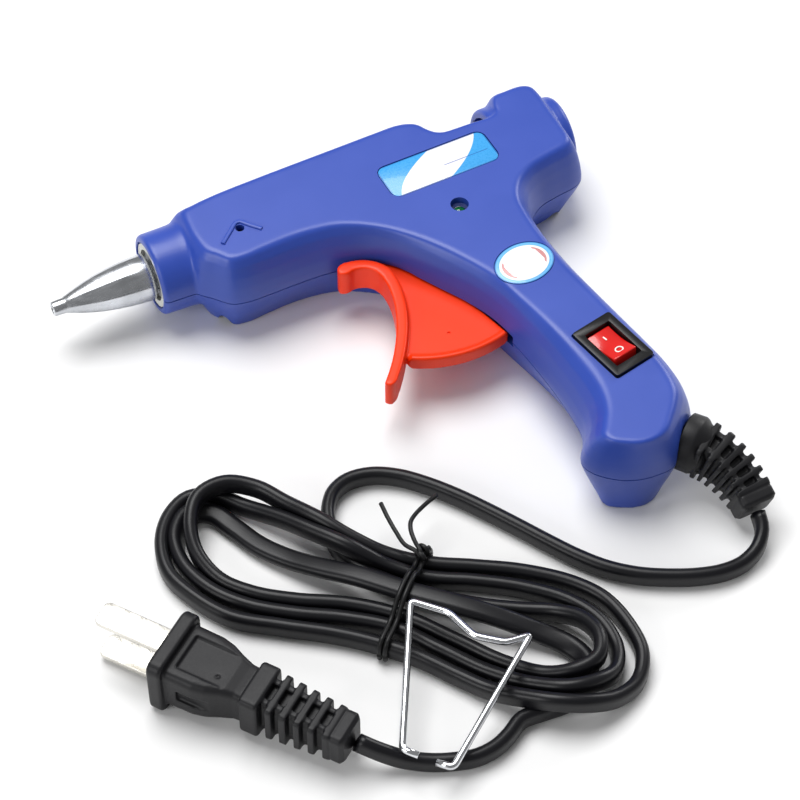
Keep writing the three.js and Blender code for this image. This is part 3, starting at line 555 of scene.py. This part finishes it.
def body_form(name, inset):
    """The outside of both shells, or the room inside them when `inset` is the wall."""
    edge = smooth_path(STATIONS, 1.2, closed=True)
    seam = edge[:, :2]
    flow = np.roll(seam, -1, axis=0) - np.roll(seam, 1, axis=0)
    flow /= np.linalg.norm(flow, axis=1)[:, None]
    inwards = np.stack([-flow[:, 1], flow[:, 0]], 1) * inset
    seam = seam + inwards
    flat = edge[:, 2:4] + inwards * 0.9
    half = FACE / 2 - inset
    rings = [
        [(*(f + (s - f) * t), MID + half * h) for f, s in zip(flat, seam)]
        for t, h in SIDE + LOWER_SIDE
    ]
    return skin(name, rings)


def gland_hole():
    x, y, heading = GLAND
    parts = []
    for x0, x1, radius in ((-8, 8, 5), (-4.3, -0.9, 6.8), (1, 12, 7.3)):
        hole = turned("gland_hole", [(x0, radius), (x1, radius)], 40)
        parts.append(place(hole, x, y, heading))
    return parts


def trigger_slot():
    mouth = [(-22, -24), (-22, -15.5), (-8, -15.5), (10, -40), (9.5, -58.7), (-10, -58.7)]
    return prism("trigger_slot", mouth, MID - 2.1, MID + 2.1)


def side_cuts():
    label = turn_outline(rounded_outline(15.4, 5.7, 2.6), *LABEL)
    oval = ellipse(8.1, 6.4, 72)
    bezel = turn_outline(rounded_outline(8.6, 6.1, 0.8), *SWITCH)
    opening = turn_outline(rounded_outline(6.9, 4.8, 0.5), *SWITCH)
    return [
        prism("label_recess", label, FACE - 0.75, ABOVE_FACE),
        prism("oval_recess", turn_outline(oval, *STICKER), FACE - 0.35, ABOVE_FACE),
        prism("bezel_recess", bezel, FACE - 0.85, ABOVE_FACE),
        prism("switch_opening", opening, FACE - 6, ABOVE_FACE),
        rod_z("lamp_hole", *LED, FACE - 6, ABOVE_FACE, 2.3),
        rod_z("stand_hole", *STAND_HOLE, FACE - 6, ABOVE_FACE, 1.15, 24),
    ]


def chevron():
    """The low arrow-shaped rib over the hole for the stand."""
    points = [(-49.2, -9.2), (-46.4, -6.6), (-43.5, -4.1), (-42.6, -4.1), (-40.6, -6.4), (-38.5, -8.7)]
    path = smooth_path([(x, y, FACE - 0.1, 0) for x, y in points], 0.8)
    return sweep("chevron", path, rounded_outline(0.55, 0.6, 0.3, 3))


def outside_solid():
    body = body_form("gun_body", 0)
    collar = turned("collar", [
        (-65.8, 9.6), (-65.5, 10.2), (-65, 10.5), (-58, 10.6), (-55.4, 10.9), (-53.2, 11.6),
        (-51, 12.4), (-46, 12.4),
    ])
    boss = turned("rear_boss", [(44, 10.3), (48.7, 10.3), (49.5, 9.9), (49.9, 9.2), (50, 8.6)], 56)
    ring = turned("arch_ring", [(29.4, 12), (29.7, 12.5), (30.2, 12.7), (36, 12.8)], 64)
    for part in (collar, boss, ring):
        combine(body, part, "UNION")
    return thin_out(soften(body, 0.42, 7), 0.45)


def inside_form():
    """Everything that is open inside the shells and out through their mouths, as one form."""
    room = soften(body_form("room", WALL), 0.8, 2)
    keep = [rod_z("boss", x, y, 0.5, FACE - 0.5, 3.5) for x, y, _ in SCREWS]
    keep.append(rod_z("pivot_boss_low", *PIVOT, 0.5, MID - 3.9, 4.2))
    keep.append(rod_z("pivot_boss_high", *PIVOT, MID + 3.9, FACE - 0.5, 4.2))
    keep.append(block("rear_wall", BLOCK_FRONT - 1, BLOCK_FRONT + 1.6, -12, 20, 0, FACE))
    cut(room, *keep)
    hub_room = rod_z("hub_room", *PIVOT, MID - 3.8, MID + 3.8, 3.5)
    inside = merge("inside", [room, hub_room, trigger_slot(), *gland_hole(), *tunnels()])
    return thin_out(soften(inside, 0.4, 1), 0.35)


def tunnels():
    """The rooms round the barrel axis, and the saddle that opens to the gun's top."""
    saddle = [(-4.6, 22), (4.6, 22), (5.2, 5), (5.2, -2), (3.8, -4), (-3.8, -4), (-5.2, -2), (-5.2, 5)]
    rings = [[(x, y, MID + z) for z, y in saddle] for x in (12, BLOCK_FRONT - 3.6)]
    inlet = [(BLOCK_BACK - 3, 4.4), (BOSS_BACK - 0.5, 4.4), (BOSS_BACK + 1, 5.6)]
    nose = [
        (COLLAR_FRONT - 1, NOSE_BORE + 0.4), (COLLAR_FRONT + 0.3, NOSE_BORE), (NOSE_BORE_BACK, NOSE_BORE),
    ]
    return [
        turned("arch_room", [(28, 10.7), (BLOCK_BACK - WALL, 10.7)], 56),
        turned("inlet_bore", inlet, 40),
        skin("saddle", rings, smooth=False),
        turned("nose_bore", nose, 56),
    ]


def screw_hole(x, y, seat):
    return rings_z("screw_hole", x, y, [(-1, 2.8), (seat, 2.8), (seat + 0.01, 1.6), (22, 1.6)])


def add_shells():
    body = outside_solid()
    combine(body, chevron(), "UNION")
    cut(body, inside_form(), *side_cuts())
    cut(body, *[screw_hole(*screw) for screw in SCREWS])
    for name, low, high in (("left", MID + SEAM_GAP, 60), ("right", -20, MID - SEAM_GAP)):
        half = body.copy()
        half.data = body.data.copy()
        half.name = f"{name}_shell_moulding"
        bpy.context.collection.objects.link(half)
        combine(half, block("half_space", -120, 120, -200, 80, low, high), "INTERSECT", "MANIFOLD")
        half.data.materials.clear()
        half.data.materials.append(BLUE)
        half.data.shade_smooth()
        half.data.set_sharp_from_angle(angle=math.radians(38))
        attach(half, "housing")
        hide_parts(f"{name}_shell")
    bpy.data.objects.remove(body)


add_shells()

# ---------------------------------------------------------------- nozzle

FLATS = (-87.5, 20.0, 0.45)  # where the facets start, how long they are and how deep


def nozzle_flats(x, radius, angle):
    """Eight long facets on the cone, which fade out at the tip and at the base."""
    start, length, depth = FLATS
    along = min(1.0, max(0.0, (x - start) / length))
    fade = max(0.0, math.sin(math.pi * along)) ** 0.7
    sector = math.pi / 4
    local = (angle + sector / 2) % sector - sector / 2
    flat = math.cos(sector / 2) / math.cos(local)
    return radius * (1 - depth * fade * max(0.0, 1 - flat))


def add_nozzle():
    profile = [
        (-86, 0.05), (-86.5, 0.9), (-91.4, 0.95), (-91.8, 1.15), (-91.8, 1.7), (-91.6, 1.9),
        (-88.6, 2.0), (-88.1, 2.25), (-87.2, 2.55), (-85, 3.35), (-82.5, 4.15), (-79.5, 4.9),
        (-76, 5.5), (-73, 5.85), (-70, 6.05), (-66.6, 6.12), (-66.1, 5.9), (-65.9, 5.5), (-65.6, 4),
        (-60, 3.6), (-60, 0.05),
    ]
    nozzle = turned("nozzle_turning", profile, 96, nozzle_flats)
    nozzle.data.set_sharp_from_angle(angle=math.radians(40))
    nozzle.data.materials.append(ALUMINIUM)
    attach(nozzle, "housing")
    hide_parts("nozzle")


add_nozzle()

# ---------------------------------------------------------------- trigger


def polar(radius, degrees):
    """A point at a radius and an angle from the trigger's pin."""
    angle = math.radians(degrees)
    return PIVOT[0] + radius * math.cos(angle), PIVOT[1] + radius * math.sin(angle)


def flange_outline():
    line = [(-24.2, -23)]
    line += bezier(line[-1], (-24.6, -20.2), (-21.5, -20))
    line += bezier(line[-1], (-14.4, -20.6), (-12, -26.4))
    line += bezier(line[-1], (-10.8, -34), (-14.4, -47), (-25.8, -59.8), count=16)
    line += bezier(line[-1], (-28, -61.8), (-29, -59.4))
    line += bezier(line[-1], (-21, -51), (-14.2, -38), (-14.9, -28.6), count=16)
    line += bezier(line[-1], (-15.4, -23.4), (-20.6, -23.2))
    line += bezier(line[-1], (-22.6, -24.4), (-24.1, -22.9))
    return line[:-1]


def web_outline():
    line = [polar(28.7, 237)]
    line += [polar(30.7, a) for a in np.linspace(239, 289, 24)]
    line += [polar(6, 300), polar(5, 60), (-12, -20.9), (-12.6, -27)]
    line += bezier(line[-1], (-12, -34), (-14.8, -46), polar(28, 237), count=12)
    return line[:-1]


def add_trigger():
    flange = soften(prism("flange", flange_outline(), MID - 4, MID + 4), 0.3, 5)
    web = soften(prism("web", web_outline(), MID - 1.5, MID + 1.5), 0.3, 3)
    bar = place(block("bar", 0, 18, -1.7, 1.7, MID - 1.5, MID + 1.5), *PIVOT, 77.5)
    knob = rod_z("knob", *polar(18, 77.5), MID - 1.5, MID + 1.5, 2.2)
    hub = rod_z("hub", *PIVOT, MID - 3.5, MID + 3.5, 2.9)
    rim = smooth_path([(*polar(29.9, a), MID, 0) for a in np.linspace(240, 288, 20)], 0.8)
    bead = sweep("web_bead", rim, rounded_outline(0.75, 2.1, 0.6, 4))
    parts = soften(merge("trigger_moulding", [flange, web, bar, knob, hub, bead]), 0.3, 2)
    dimple = rod_z("dimple", -7.2, -50.2, MID + 1.2, MID + 6, 0.45, 16)
    cut(parts, rod_z("pin_bore", *PIVOT, 0, FACE, 1.9), dimple)
    parts.data.shade_smooth()
    parts.data.set_sharp_from_angle(angle=math.radians(45))
    parts.data.materials.clear()
    parts.data.materials.append(ORANGE)
    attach(parts, "trigger")
    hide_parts("trigger")


add_trigger()

# ---------------------------------------------------------------- switch


def add_switch():
    x, y, turn = SWITCH
    bezel = prism("switch_frame", rounded_outline(8.3, 5.8, 0.7, 4), FACE - 0.5, FACE + 0.8)
    can = prism("can", rounded_outline(6.6, 4.5, 0.4, 3), FACE - 12, FACE)
    combine(bezel, can, "UNION")
    cut(bezel, prism("well", rounded_outline(5.95, 3.85, 0.3, 3), FACE - 9, FACE + 2))
    round_edges(bezel, 0.28)
    place(bezel, x, y, turn)
    bezel.data.materials.append(BLACK_NYLON)
    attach(bezel, "housing")
    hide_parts("switch_body")


def add_rocker():
    """Two shallow dished faces that meet over the pivot, with I and O marks moulded in white."""
    x, y, turn = SWITCH
    half, wide, pivot_z = 5.1, 3.4, 23.2
    top = [(u, 2.75 + 0.75 * (abs(u) / half) ** 1.7) for u in np.linspace(half, -half, 25)]
    side = [(-half, -3.2), (half, -3.2)] + top
    rings = [[(u, w, h) for u, h in side] for w in (-wide, wide)]
    rocker = skin("rocker_cap", rings, smooth=False)
    round_edges(rocker, 0.35, 3, 40)
    rocker.data.materials.append(RED_ROCKER)
    stroke = prism("mark_on", rounded_outline(1.0, 0.19, 0.15, 3), 0, 0.1)
    stroke.data.transform(Matrix.Translation(Vector((-2.75, 0, 2.98)) * MM))
    ring_points = [(u, v, 3.07, 0) for u, v in ellipse(0.82, 0.98, 20, 2.75)]
    ring_path = smooth_path(ring_points, 0.15, closed=True)
    closed_path = np.vstack([ring_path, ring_path[:1]])
    ring = sweep("mark_off", closed_path, rounded_outline(0.17, 0.09, 0.05, 2))
    for mark in (stroke, ring):
        mark.data.materials.append(WHITE_PRINT)
    tilt = Matrix.Translation(Vector((0, 0, pivot_z)) * MM) @ Matrix.Rotation(math.radians(-9), 4, "Y")
    for part in (rocker, stroke, ring):
        part.data.transform(tilt)
        place(part, x, y, turn)
        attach(part, "rocker")
    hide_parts("switch_rocker")


add_switch()
add_rocker()

# ---------------------------------------------------------------- labels and lamp


OVAL_LONG, OVAL_SHORT = 7.9, 6.2  # half sizes of the round sticker
PLATE_LONG, PLATE_SHORT = 15.2, 5.5  # half sizes of the name plate


def label_coordinates(recipe, x, y, degrees):
    """Coordinates along and across a label, in millimetres."""
    mapping = recipe.node("ShaderNodeMapping", {
        "Vector": recipe.coordinates,
        "Location": (x * MM, y * MM, 0), "Rotation": (0, 0, math.radians(degrees)),
    }, vector_type="TEXTURE")
    parts = recipe.node("ShaderNodeSeparateXYZ", {"Vector": mapping.outputs[0]})
    return [recipe.math("MULTIPLY", parts.outputs[i], 1 / MM) for i in (0, 1)]


def printed_film(r, tint, marks, ink, glossy, matt):
    """Prints `marks` in one ink over a tint, with faint flecks and an uneven gloss."""
    print_over = {0: marks, 6: tint, 7: (*linear(ink), 1)}
    mix = r.node("ShaderNodeMix", print_over, data_type="RGBA")
    fleck = r.noise(1800, 3)
    shade = r.ramp(fleck, [(0.3, (0.94, 0.94, 0.95)), (0.7, (1, 1, 1))])
    darken = {0: 1.0, 6: mix.outputs[2], 7: shade}
    final = r.node("ShaderNodeMix", darken, data_type="RGBA", blend_type="MULTIPLY")
    r.into("Base Color", final.outputs[2])
    r.into("Roughness", r.remap(fleck, 0.3, 0.7, glossy, matt))
    r.bump(r.noise(420, 3), 0.15, 0.03)
    return r.material


def name_plate_film():
    """Sky-blue film with a white band between two slanting curves and two hairlines."""
    r = Recipe("name_plate_film", 0.3, 0, 0.3)
    u, v = label_coordinates(r, *LABEL)
    square = r.math("MULTIPLY", v, v)
    left = r.math("SUBTRACT", r.math("SUBTRACT", u, r.math("MULTIPLY", v, 1.19)), -9.0)
    left = r.math("SUBTRACT", left, r.math("MULTIPLY", square, 0.08))
    right = r.math("SUBTRACT", r.math("SUBTRACT", u, r.math("MULTIPLY", v, 1.11)), 8.9)
    right = r.math("ADD", right, r.math("MULTIPLY", square, 0.063))
    band = r.math("MULTIPLY", r.remap(left, -0.08, 0.08, 0, 1), r.remap(right, -0.08, 0.08, 1, 0))
    tint = r.ramp(band, [(0, linear((58, 160, 226))), (1, linear((238, 236, 240)))])
    line_v = r.math("ABSOLUTE", r.math("ADD", v, 1.05))
    line_u = r.math("ABSOLUTE", r.math("SUBTRACT", u, 7.4))
    hairline = r.math("MULTIPLY", r.math("LESS_THAN", line_v, 0.13), r.math("LESS_THAN", line_u, 6.2))
    edge_u = r.math("GREATER_THAN", r.math("ABSOLUTE", u), PLATE_LONG - 0.35)
    edge_v = r.math("GREATER_THAN", r.math("ABSOLUTE", v), PLATE_SHORT - 0.3)
    dark = r.math("MAXIMUM", hairline, r.math("MAXIMUM", edge_u, edge_v))
    return printed_film(r, tint, r.math("MULTIPLY", dark, 0.75), (24, 92, 170), 0.22, 0.36)


def oval_film():
    """White oval with a light-blue border and a red arc near each end."""
    r = Recipe("oval_sticker_film", 0.32, 0, 0.25)
    u, v = label_coordinates(r, *STICKER)
    along = r.math("DIVIDE", u, OVAL_LONG)
    across = r.math("DIVIDE", v, OVAL_SHORT)
    squares = [r.math("MULTIPLY", c, c) for c in (along, across)]
    radius = r.math("SQRT", r.math("ADD", *squares))
    tint = r.ramp(radius, [
        (0, linear((238, 236, 240))), (0.83, linear((246, 246, 250))), (0.855, linear((92, 172, 232))),
        (0.93, linear((120, 194, 244))), (0.985, linear((46, 120, 196))),
    ])
    outer = r.math("LESS_THAN", r.math("ABSOLUTE", r.math("SUBTRACT", radius, 0.72)), 0.035)
    arc = r.math("MULTIPLY", outer, r.math("GREATER_THAN", r.math("ABSOLUTE", along), 0.56))
    inner = r.math("LESS_THAN", r.math("ABSOLUTE", r.math("SUBTRACT", radius, 0.66)), 0.05)
    thick = r.math("MULTIPLY", inner, r.math("GREATER_THAN", r.math("ABSOLUTE", along), 0.62))
    mark = r.math("MULTIPLY", r.math("MAXIMUM", arc, thick), 0.8)
    return printed_film(r, tint, mark, (196, 96, 92), 0.24, 0.4)


def add_labels():
    oblong = rounded_outline(PLATE_LONG, PLATE_SHORT, 2.4, 8)
    plate = prism("name_plate_print", turn_outline(oblong, *LABEL), FACE - 0.5, FACE - 0.1)
    oval = ellipse(OVAL_LONG, OVAL_SHORT, 96)
    sticker = prism("oval_sticker_print", turn_outline(oval, *STICKER), FACE - 0.2, FACE + 0.05)
    for part, film, slot, node in (
        (plate, name_plate_film(), "label_film", "name_plate"),
        (sticker, oval_film(), "sticker_film", "oval_sticker"),
    ):
        round_edges(part, 0.12, 2)
        part.data.materials.append(film)
        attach(part, "housing")
        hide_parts(node)


def lens_material():
    r = Recipe("green_lens", 0.12, 0, 0.3)
    glow = r.noise(900, 2)
    r.into("Base Color", r.ramp(glow, [(0.35, linear((4, 66, 34))), (0.65, linear((16, 128, 62)))]))
    r.shader.inputs["Transmission Weight"].default_value = 0.25
    r.shader.inputs["IOR"].default_value = 1.5
    r.bump(r.noise(2400, 2), 0.1, 0.01)
    return r.material


def add_lamp():
    x, y = LED
    dome = [(18, 2.8), (19.2, 2.8), (19.2, 1.85), (22.6, 1.85)]
    dome += [(22.6 + 1.6 * math.sin(a), 1.85 * math.cos(a)) for a in np.linspace(0.15, 1.5, 8)]
    lamp = rings_z("lamp_lens", x, y, dome)
    lamp.data.set_sharp_from_angle(angle=math.radians(40))
    lamp.data.materials.append(lens_material())
    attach(lamp, "housing")
    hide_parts("indicator_lamp")


add_labels()
add_lamp()

# ---------------------------------------------------------------- strain reliefs and plug


def sleeve_rails(length, half_size):
    """Four rails that join the ribs, two above and two below."""
    rails = []
    for side in (-1, 1):
        for level in (-1, 1):
            rings = []
            for x in (0, length - 1):
                middle, half = half_size(x) * 0.5 * side, half_size(x) * 0.13
                left, right = middle - half, middle + half
                low, high = sorted((0, level * half_size(x) * 0.93))
                rings.append([(x, left, low), (x, right, low), (x, right, high), (x, left, high)])
            rails.append(skin("rail", rings))
    return rails


def ribbed_sleeve(name, start, end, length, ribs):
    """A flexible sleeve along +X from the origin: a core, four rails and square ribs with slots
    between them, and a plain block at its far end. `start` and `end` are its half sizes."""

    def half_size(x):
        return start + (end - start) * x / length

    def square(x, half, corner=0.9, per_corner=3):
        return [(x, u, v) for u, v in rounded_outline(half, half, corner, per_corner)]

    parts = [skin("core", [square(x, half_size(x) * 0.66) for x in (0, length)])]
    parts += sleeve_rails(length, half_size)
    pitch = (length - 3.6) / ribs
    for k in range(ribs):
        x0 = pitch * (k + 0.55)
        x1 = x0 + pitch * 0.46
        parts.append(skin("rib", [square(x, half_size(x)) for x in (x0, x1)]))
    block_rings = [(length - 3.4, 0.94), (length - 3.0, 1.02), (length - 0.8, 1.02), (length, 0.86)]
    parts.append(skin("end_block", [square(x, end * k, 1.2, 4) for x, k in block_rings]))
    return merge(name, parts)


RELIEF_PATH = [
    (31, -106, 12.8), (33.6, -110.2, 12.2), (35.8, -115.2, 10.4), (37, -120.6, 8.4), (37.2, -124.6, 7),
]


def bend_along(obj, points):
    """Bends a part built along +X so that its axis follows the given points."""
    path = smooth_path([(*p, 0) for p in points], 0.4)
    tangent, side, upright = frames_along(path)
    reach = np.concatenate([[0], np.cumsum(np.linalg.norm(np.diff(path[:, :3], axis=0), axis=1))])
    for vertex in obj.data.vertices:
        x, u, v = (c / MM for c in vertex.co)
        i = int(np.clip(np.searchsorted(reach, x), 0, len(reach) - 1))
        extra = tangent[i] * (x - reach[i])
        vertex.co = Vector(path[i, :3] + extra + side[i] * u + upright[i] * v) * MM
    return obj


def add_strain_relief():
    path = smooth_path([(*p, 0) for p in RELIEF_PATH], 0.4)
    length = path_length(path)
    sleeve = bend_along(soften(ribbed_sleeve("sleeve", 5.6, 4.5, length, 6), 0.26, 2), RELIEF_PATH)
    x, y, heading = GLAND
    root = turned("gland_collar", [
        (-4, 0.5), (-4, 6), (-3.7, 6.4), (-1.5, 6.4), (-1.2, 6), (-1.2, 4.6), (1.3, 4.6), (1.3, 6.7),
        (1.6, 7.1),
        (4.6, 7.2), (5.3, 6.9), (6.2, 6.1), (7.4, 5.4), (8.4, 4.6), (8.4, 0.5),
    ], 56)
    place(root, x, y, heading)
    relief = merge("cord_strain_relief", [sleeve, root])
    relief.data.shade_smooth()
    relief.data.set_sharp_from_angle(angle=math.radians(50))
    relief.data.materials.append(BLACK_PVC)
    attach(relief, "housing")
    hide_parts("strain_relief")
    return relief


# x, y, heading and height of the start of the plug's sleeve, then the lengths along it.
PLUG = (-76.1, -142.3, 127.0, 8.5)
PLUG_RELIEF, PLUG_COLLAR, PLUG_BODY, PLUG_FLANGE = 21.0, 4.5, 18.0, 3.8
PLUG_FACE = PLUG_RELIEF + PLUG_COLLAR + PLUG_BODY + PLUG_FLANGE
BLADE_OFFSET = 6.35  # half of the 12.7 mm between the blades


def loft_x(name, stations, per_corner=5):
    """Rounded rectangles of (x, half width, half height, corner) joined along X."""
    return skin(name, [
        [(x, u, v) for u, v in rounded_outline(a, b, corner, per_corner)]
        for x, a, b, corner in stations
    ])


def plug_grip():
    """The moulding from the collar to the flange, with its panel, side slots and dimple."""
    x1 = PLUG_RELIEF
    x2 = x1 + PLUG_COLLAR
    x3 = x2 + PLUG_BODY
    collar = loft_x("plug_collar", [
        (x1 - 0.2, 5.7, 5.7, 1), (x1 + 0.2, 6.2, 6.2, 1.2), (x2 - 0.4, 6.2, 6.2, 1.2), (x2, 5.8, 5.8, 1),
    ])
    grip = loft_x("plug_grip", [
        (x2 - 1, 5, 4.8, 1.4), (x2 + 2, 5.1, 5.2, 1.6), (x2 + 5, 6, 5.8, 1.8), (x2 + 8, 7.3, 6.1, 2),
        (x2 + 11, 7.9, 6.3, 2), (x3 - 1, 7.9, 6.4, 1.8), (x3 + 1, 8, 6.4, 1.6),
    ])
    flange = loft_x("plug_flange", [
        (x3, 8.9, 8.1, 2.2), (x3 + 0.5, 9.3, 8.5, 2.4), (PLUG_FACE - 0.6, 9.3, 8.5, 2.4),
        (PLUG_FACE, 8.7, 7.9, 2.2),
    ])
    for part in (collar, flange):
        combine(grip, part, "UNION")
    panel = block("panel", x2 + 4.5, x3 - 1.6, -4.8, 4.8, 5.6, 9)
    slots = [block("slot", x2 + 6, x3 - 3, y, y + 2.1, -2.2, 1.4) for y in (6.9, -9)]
    return cut(grip, panel, *slots, rod_z("dimple", x2 + 7, 2.2, 5.2, 9, 0.5, 16))


def add_plug():
    sleeve = ribbed_sleeve("plug_sleeve", 5.8, 4.6, PLUG_RELIEF, 5)
    turned_round = Matrix.Rotation(math.pi, 4, "Z")
    sleeve.data.transform(Matrix.Translation(Vector((PLUG_RELIEF, 0, 0)) * MM) @ turned_round)
    moulding = soften(merge("plug_moulding", [plug_grip(), sleeve]), 0.26, 3)
    for side in (-1, 1):
        z = side * BLADE_OFFSET
        cut(moulding, block("socket", PLUG_FACE - 3, PLUG_FACE + 1, -3.4, 3.4, z - 1, z + 1))
    place(moulding, *PLUG)
    moulding.data.shade_smooth()
    moulding.data.set_sharp_from_angle(angle=math.radians(55))
    moulding.data.materials.clear()
    moulding.data.materials.append(BLACK_PVC)
    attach(moulding, "housing")
    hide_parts("plug_body")
    return [moulding] + [add_blade(i, side) for i, side in enumerate((-1, 1))]


def add_blade(index, side):
    """A flat prong with a rounded tip and chamfered edges."""
    x0, x1 = PLUG_FACE - 2.6, PLUG_FACE + 17
    outline = [(x0, -3.15), (x1 - 1.6, -3.15)]
    outline += bezier(outline[-1], (x1, -3.15), (x1, -1.5), count=6) + [(x1, 1.5)]
    outline += bezier((x1, 1.5), (x1, 3.15), (x1 - 1.6, 3.15), count=6) + [(x0, 3.15)]
    middle = side * BLADE_OFFSET
    blade = prism(f"prong_{index + 1}", outline, middle - 0.75, middle + 0.75)
    round_edges(blade, 0.22, 3)
    place(blade, *PLUG)
    blade.data.materials.append(NICKEL)
    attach(blade, "housing")
    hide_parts(f"plug_blade_{index + 1}")
    return blade


# ---------------------------------------------------------------- tie and stand


def hank_point(u, v, z):
    return (*hank_to_world(u, v), z, 0)


# Across the hank and up: the tie's path over the strands and back under them.
TIE_LOOP = [
    (-14.9, 1), (-15.2, 3.4), (-13.9, 6.2), (-7, 6.4), (-2.4, 9.4), (4, 9.4), (7, 7.2), (12, 7),
    (14.6, 5.6), (15.2, 3.4), (14.9, 1),
]


def add_tie():
    """Thin plastic-covered wire: twice round the waist, twisted once and left with two tails."""
    parts = []
    for shift in (-0.7, 0.7):
        path = smooth_path([hank_point(shift, v, z) for v, z in TIE_LOOP], 0.8)
        parts.append(sweep("loop", path, ellipse(0.62, 0.62, 8)))
    turns = np.linspace(0, 12, 30)
    knot = [hank_point(1.1 * math.cos(a), 9.6 + 0.35 * a, 8.3 + 1.1 * math.sin(a)) for a in turns]
    parts.append(sweep("knot", smooth_path(knot, 0.5), ellipse(0.62, 0.62, 8)))
    tails = (
        [(0.4, 9.6, 8.6), (-1.3, 10.4, 9.6), (-4.4, 11.4, 9.4), (-7.6, 14.2, 9.2), (-10.8, 17.2, 9.6),
         (-13.8, 20.6, 9.4)],
        [(0.6, 9.8, 8.8), (-0.4, 10.8, 9.8), (-2.4, 12.9, 9.6), (-4.4, 15.5, 9.8), (-5.2, 17.6, 10),
         (-5, 19.8, 10), (-3.9, 23.5, 9.8), (-2.3, 27.5, 9.4)],
    )
    for tail in tails:
        path = smooth_path([hank_point(*p) for p in tail], 0.8)
        parts.append(sweep("tail", path, ellipse(0.55, 0.55, 8)))
    tie = merge("twist_tie", parts)
    tie.data.materials.append(TIE_PLASTIC)
    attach(tie, "housing")
    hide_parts("cord_tie")
    return tie


STAND_POINTS = [
    (-64.3, -151.6, 7.6), (-66.9, -148.6, 7.6), (-49.4, -116.4, 12), (-43, -123, 12), (-40.6, -131.2, 12),
    (-35, -135.8, 12), (-29, -136.5, 12), (-58.6, -157.4, 7), (-61.4, -154.6, 7),
]


def add_stand():
    """One piece of drawn wire with tight bends: two legs, inward hooks and a bowed cross piece."""
    corners = [Vector(p) for p in STAND_POINTS]
    line = [corners[0]]
    for before, at, after in zip(corners, corners[1:], corners[2:]):
        reach = min(1.3, (at - before).length / 3, (after - at).length / 3)
        start, end = at + (before - at).normalized() * reach, at + (after - at).normalized() * reach
        line.append(start)
        line += [Vector(p) for p in bezier(start, at, end, count=5)]
    line.append(corners[-1])
    path = np.array([(*p, 0) for p in line])
    stand = sweep("stand_wire", path, ellipse(0.85, 0.85, 14))
    stand.data.materials.append(BRIGHT_WIRE)
    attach(stand, "stand")
    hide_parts("wire_stand")


relief = add_strain_relief()
plug = add_plug()
tie = add_tie()
add_stand()

# ---------------------------------------------------------------- carried-over pieces

NODE_FINISH = {
    "nozzle_bush": WHITE_NYLON, "heating_chamber": DIE_CAST, "heater_element": CERAMIC,
    "heater_clip": SPRING_STEEL, "inlet_sleeve": SILICONE, "trigger_pin": SCREW_STEEL,
    "feed_carriage": WHITE_NYLON, "clamp_claw": SPRING_STEEL, "claw_pin": SCREW_STEEL,
    "return_spring": SPRING_STEEL, "switch_terminal_1": BRASS, "switch_terminal_2": BRASS,
    "lamp_resistor": RESISTOR, "wire_gland_switch": WIRE_BLACK, "wire_gland_heater": WIRE_BLACK,
    "wire_switch_heater": WHITE_NYLON, "shell_screw_1": SCREW_STEEL, "shell_screw_2": SCREW_STEEL,
    "shell_screw_3": SCREW_STEEL, "shell_screw_4": SCREW_STEEL,
}


def refinish_nodes():
    for name, material in NODE_FINISH.items():
        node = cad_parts[name]
        for slot in node.material_slots:
            slot.material = material


refinish_nodes()

# ---------------------------------------------------------------- studio


def add_floor():
    r = Recipe("pale_floor", 0.7)
    r.into("Base Color", r.ramp(r.noise(18, 3), [(0.3, (0.86, 0.86, 0.86)), (0.7, (0.9, 0.9, 0.9))]))
    r.bump(r.noise(900, 3), 0.05, 0.05)
    far = 3000
    floor = prism("floor", [(-far, -far), (far, -far), (far, far), (-far, far)], -6, -0.05)
    floor.data.materials.append(r.material)


def add_light(name, place_mm, aim_mm, size_mm, power):
    data = bpy.data.lights.new(name, "AREA")
    data.shape, data.size, data.energy = "DISK", size_mm * MM, power
    light = bpy.data.objects.new(name, data)
    light.location = Vector(place_mm) * MM
    light.rotation_euler = (Vector(aim_mm) - Vector(place_mm)).to_track_quat("-Z", "Y").to_euler()
    bpy.context.collection.objects.link(light)


def add_studio():
    world = bpy.context.scene.world or bpy.data.worlds.new("studio")
    bpy.context.scene.world = world
    world.use_nodes = True
    background = world.node_tree.nodes["Background"]
    background.inputs["Color"].default_value = (1, 1, 1, 1)
    background.inputs["Strength"].default_value = 0.26
    aim = (0, -60, 10)
    add_light("key", (-100, 420, 1250), aim, 1000, 18)
    add_light("fill", (-900, -300, 420), aim, 500, 3)
    add_light("rim", (800, 300, 400), aim, 400, 3)
    bpy.context.scene.view_settings.view_transform = "Standard"


add_floor()
add_studio()
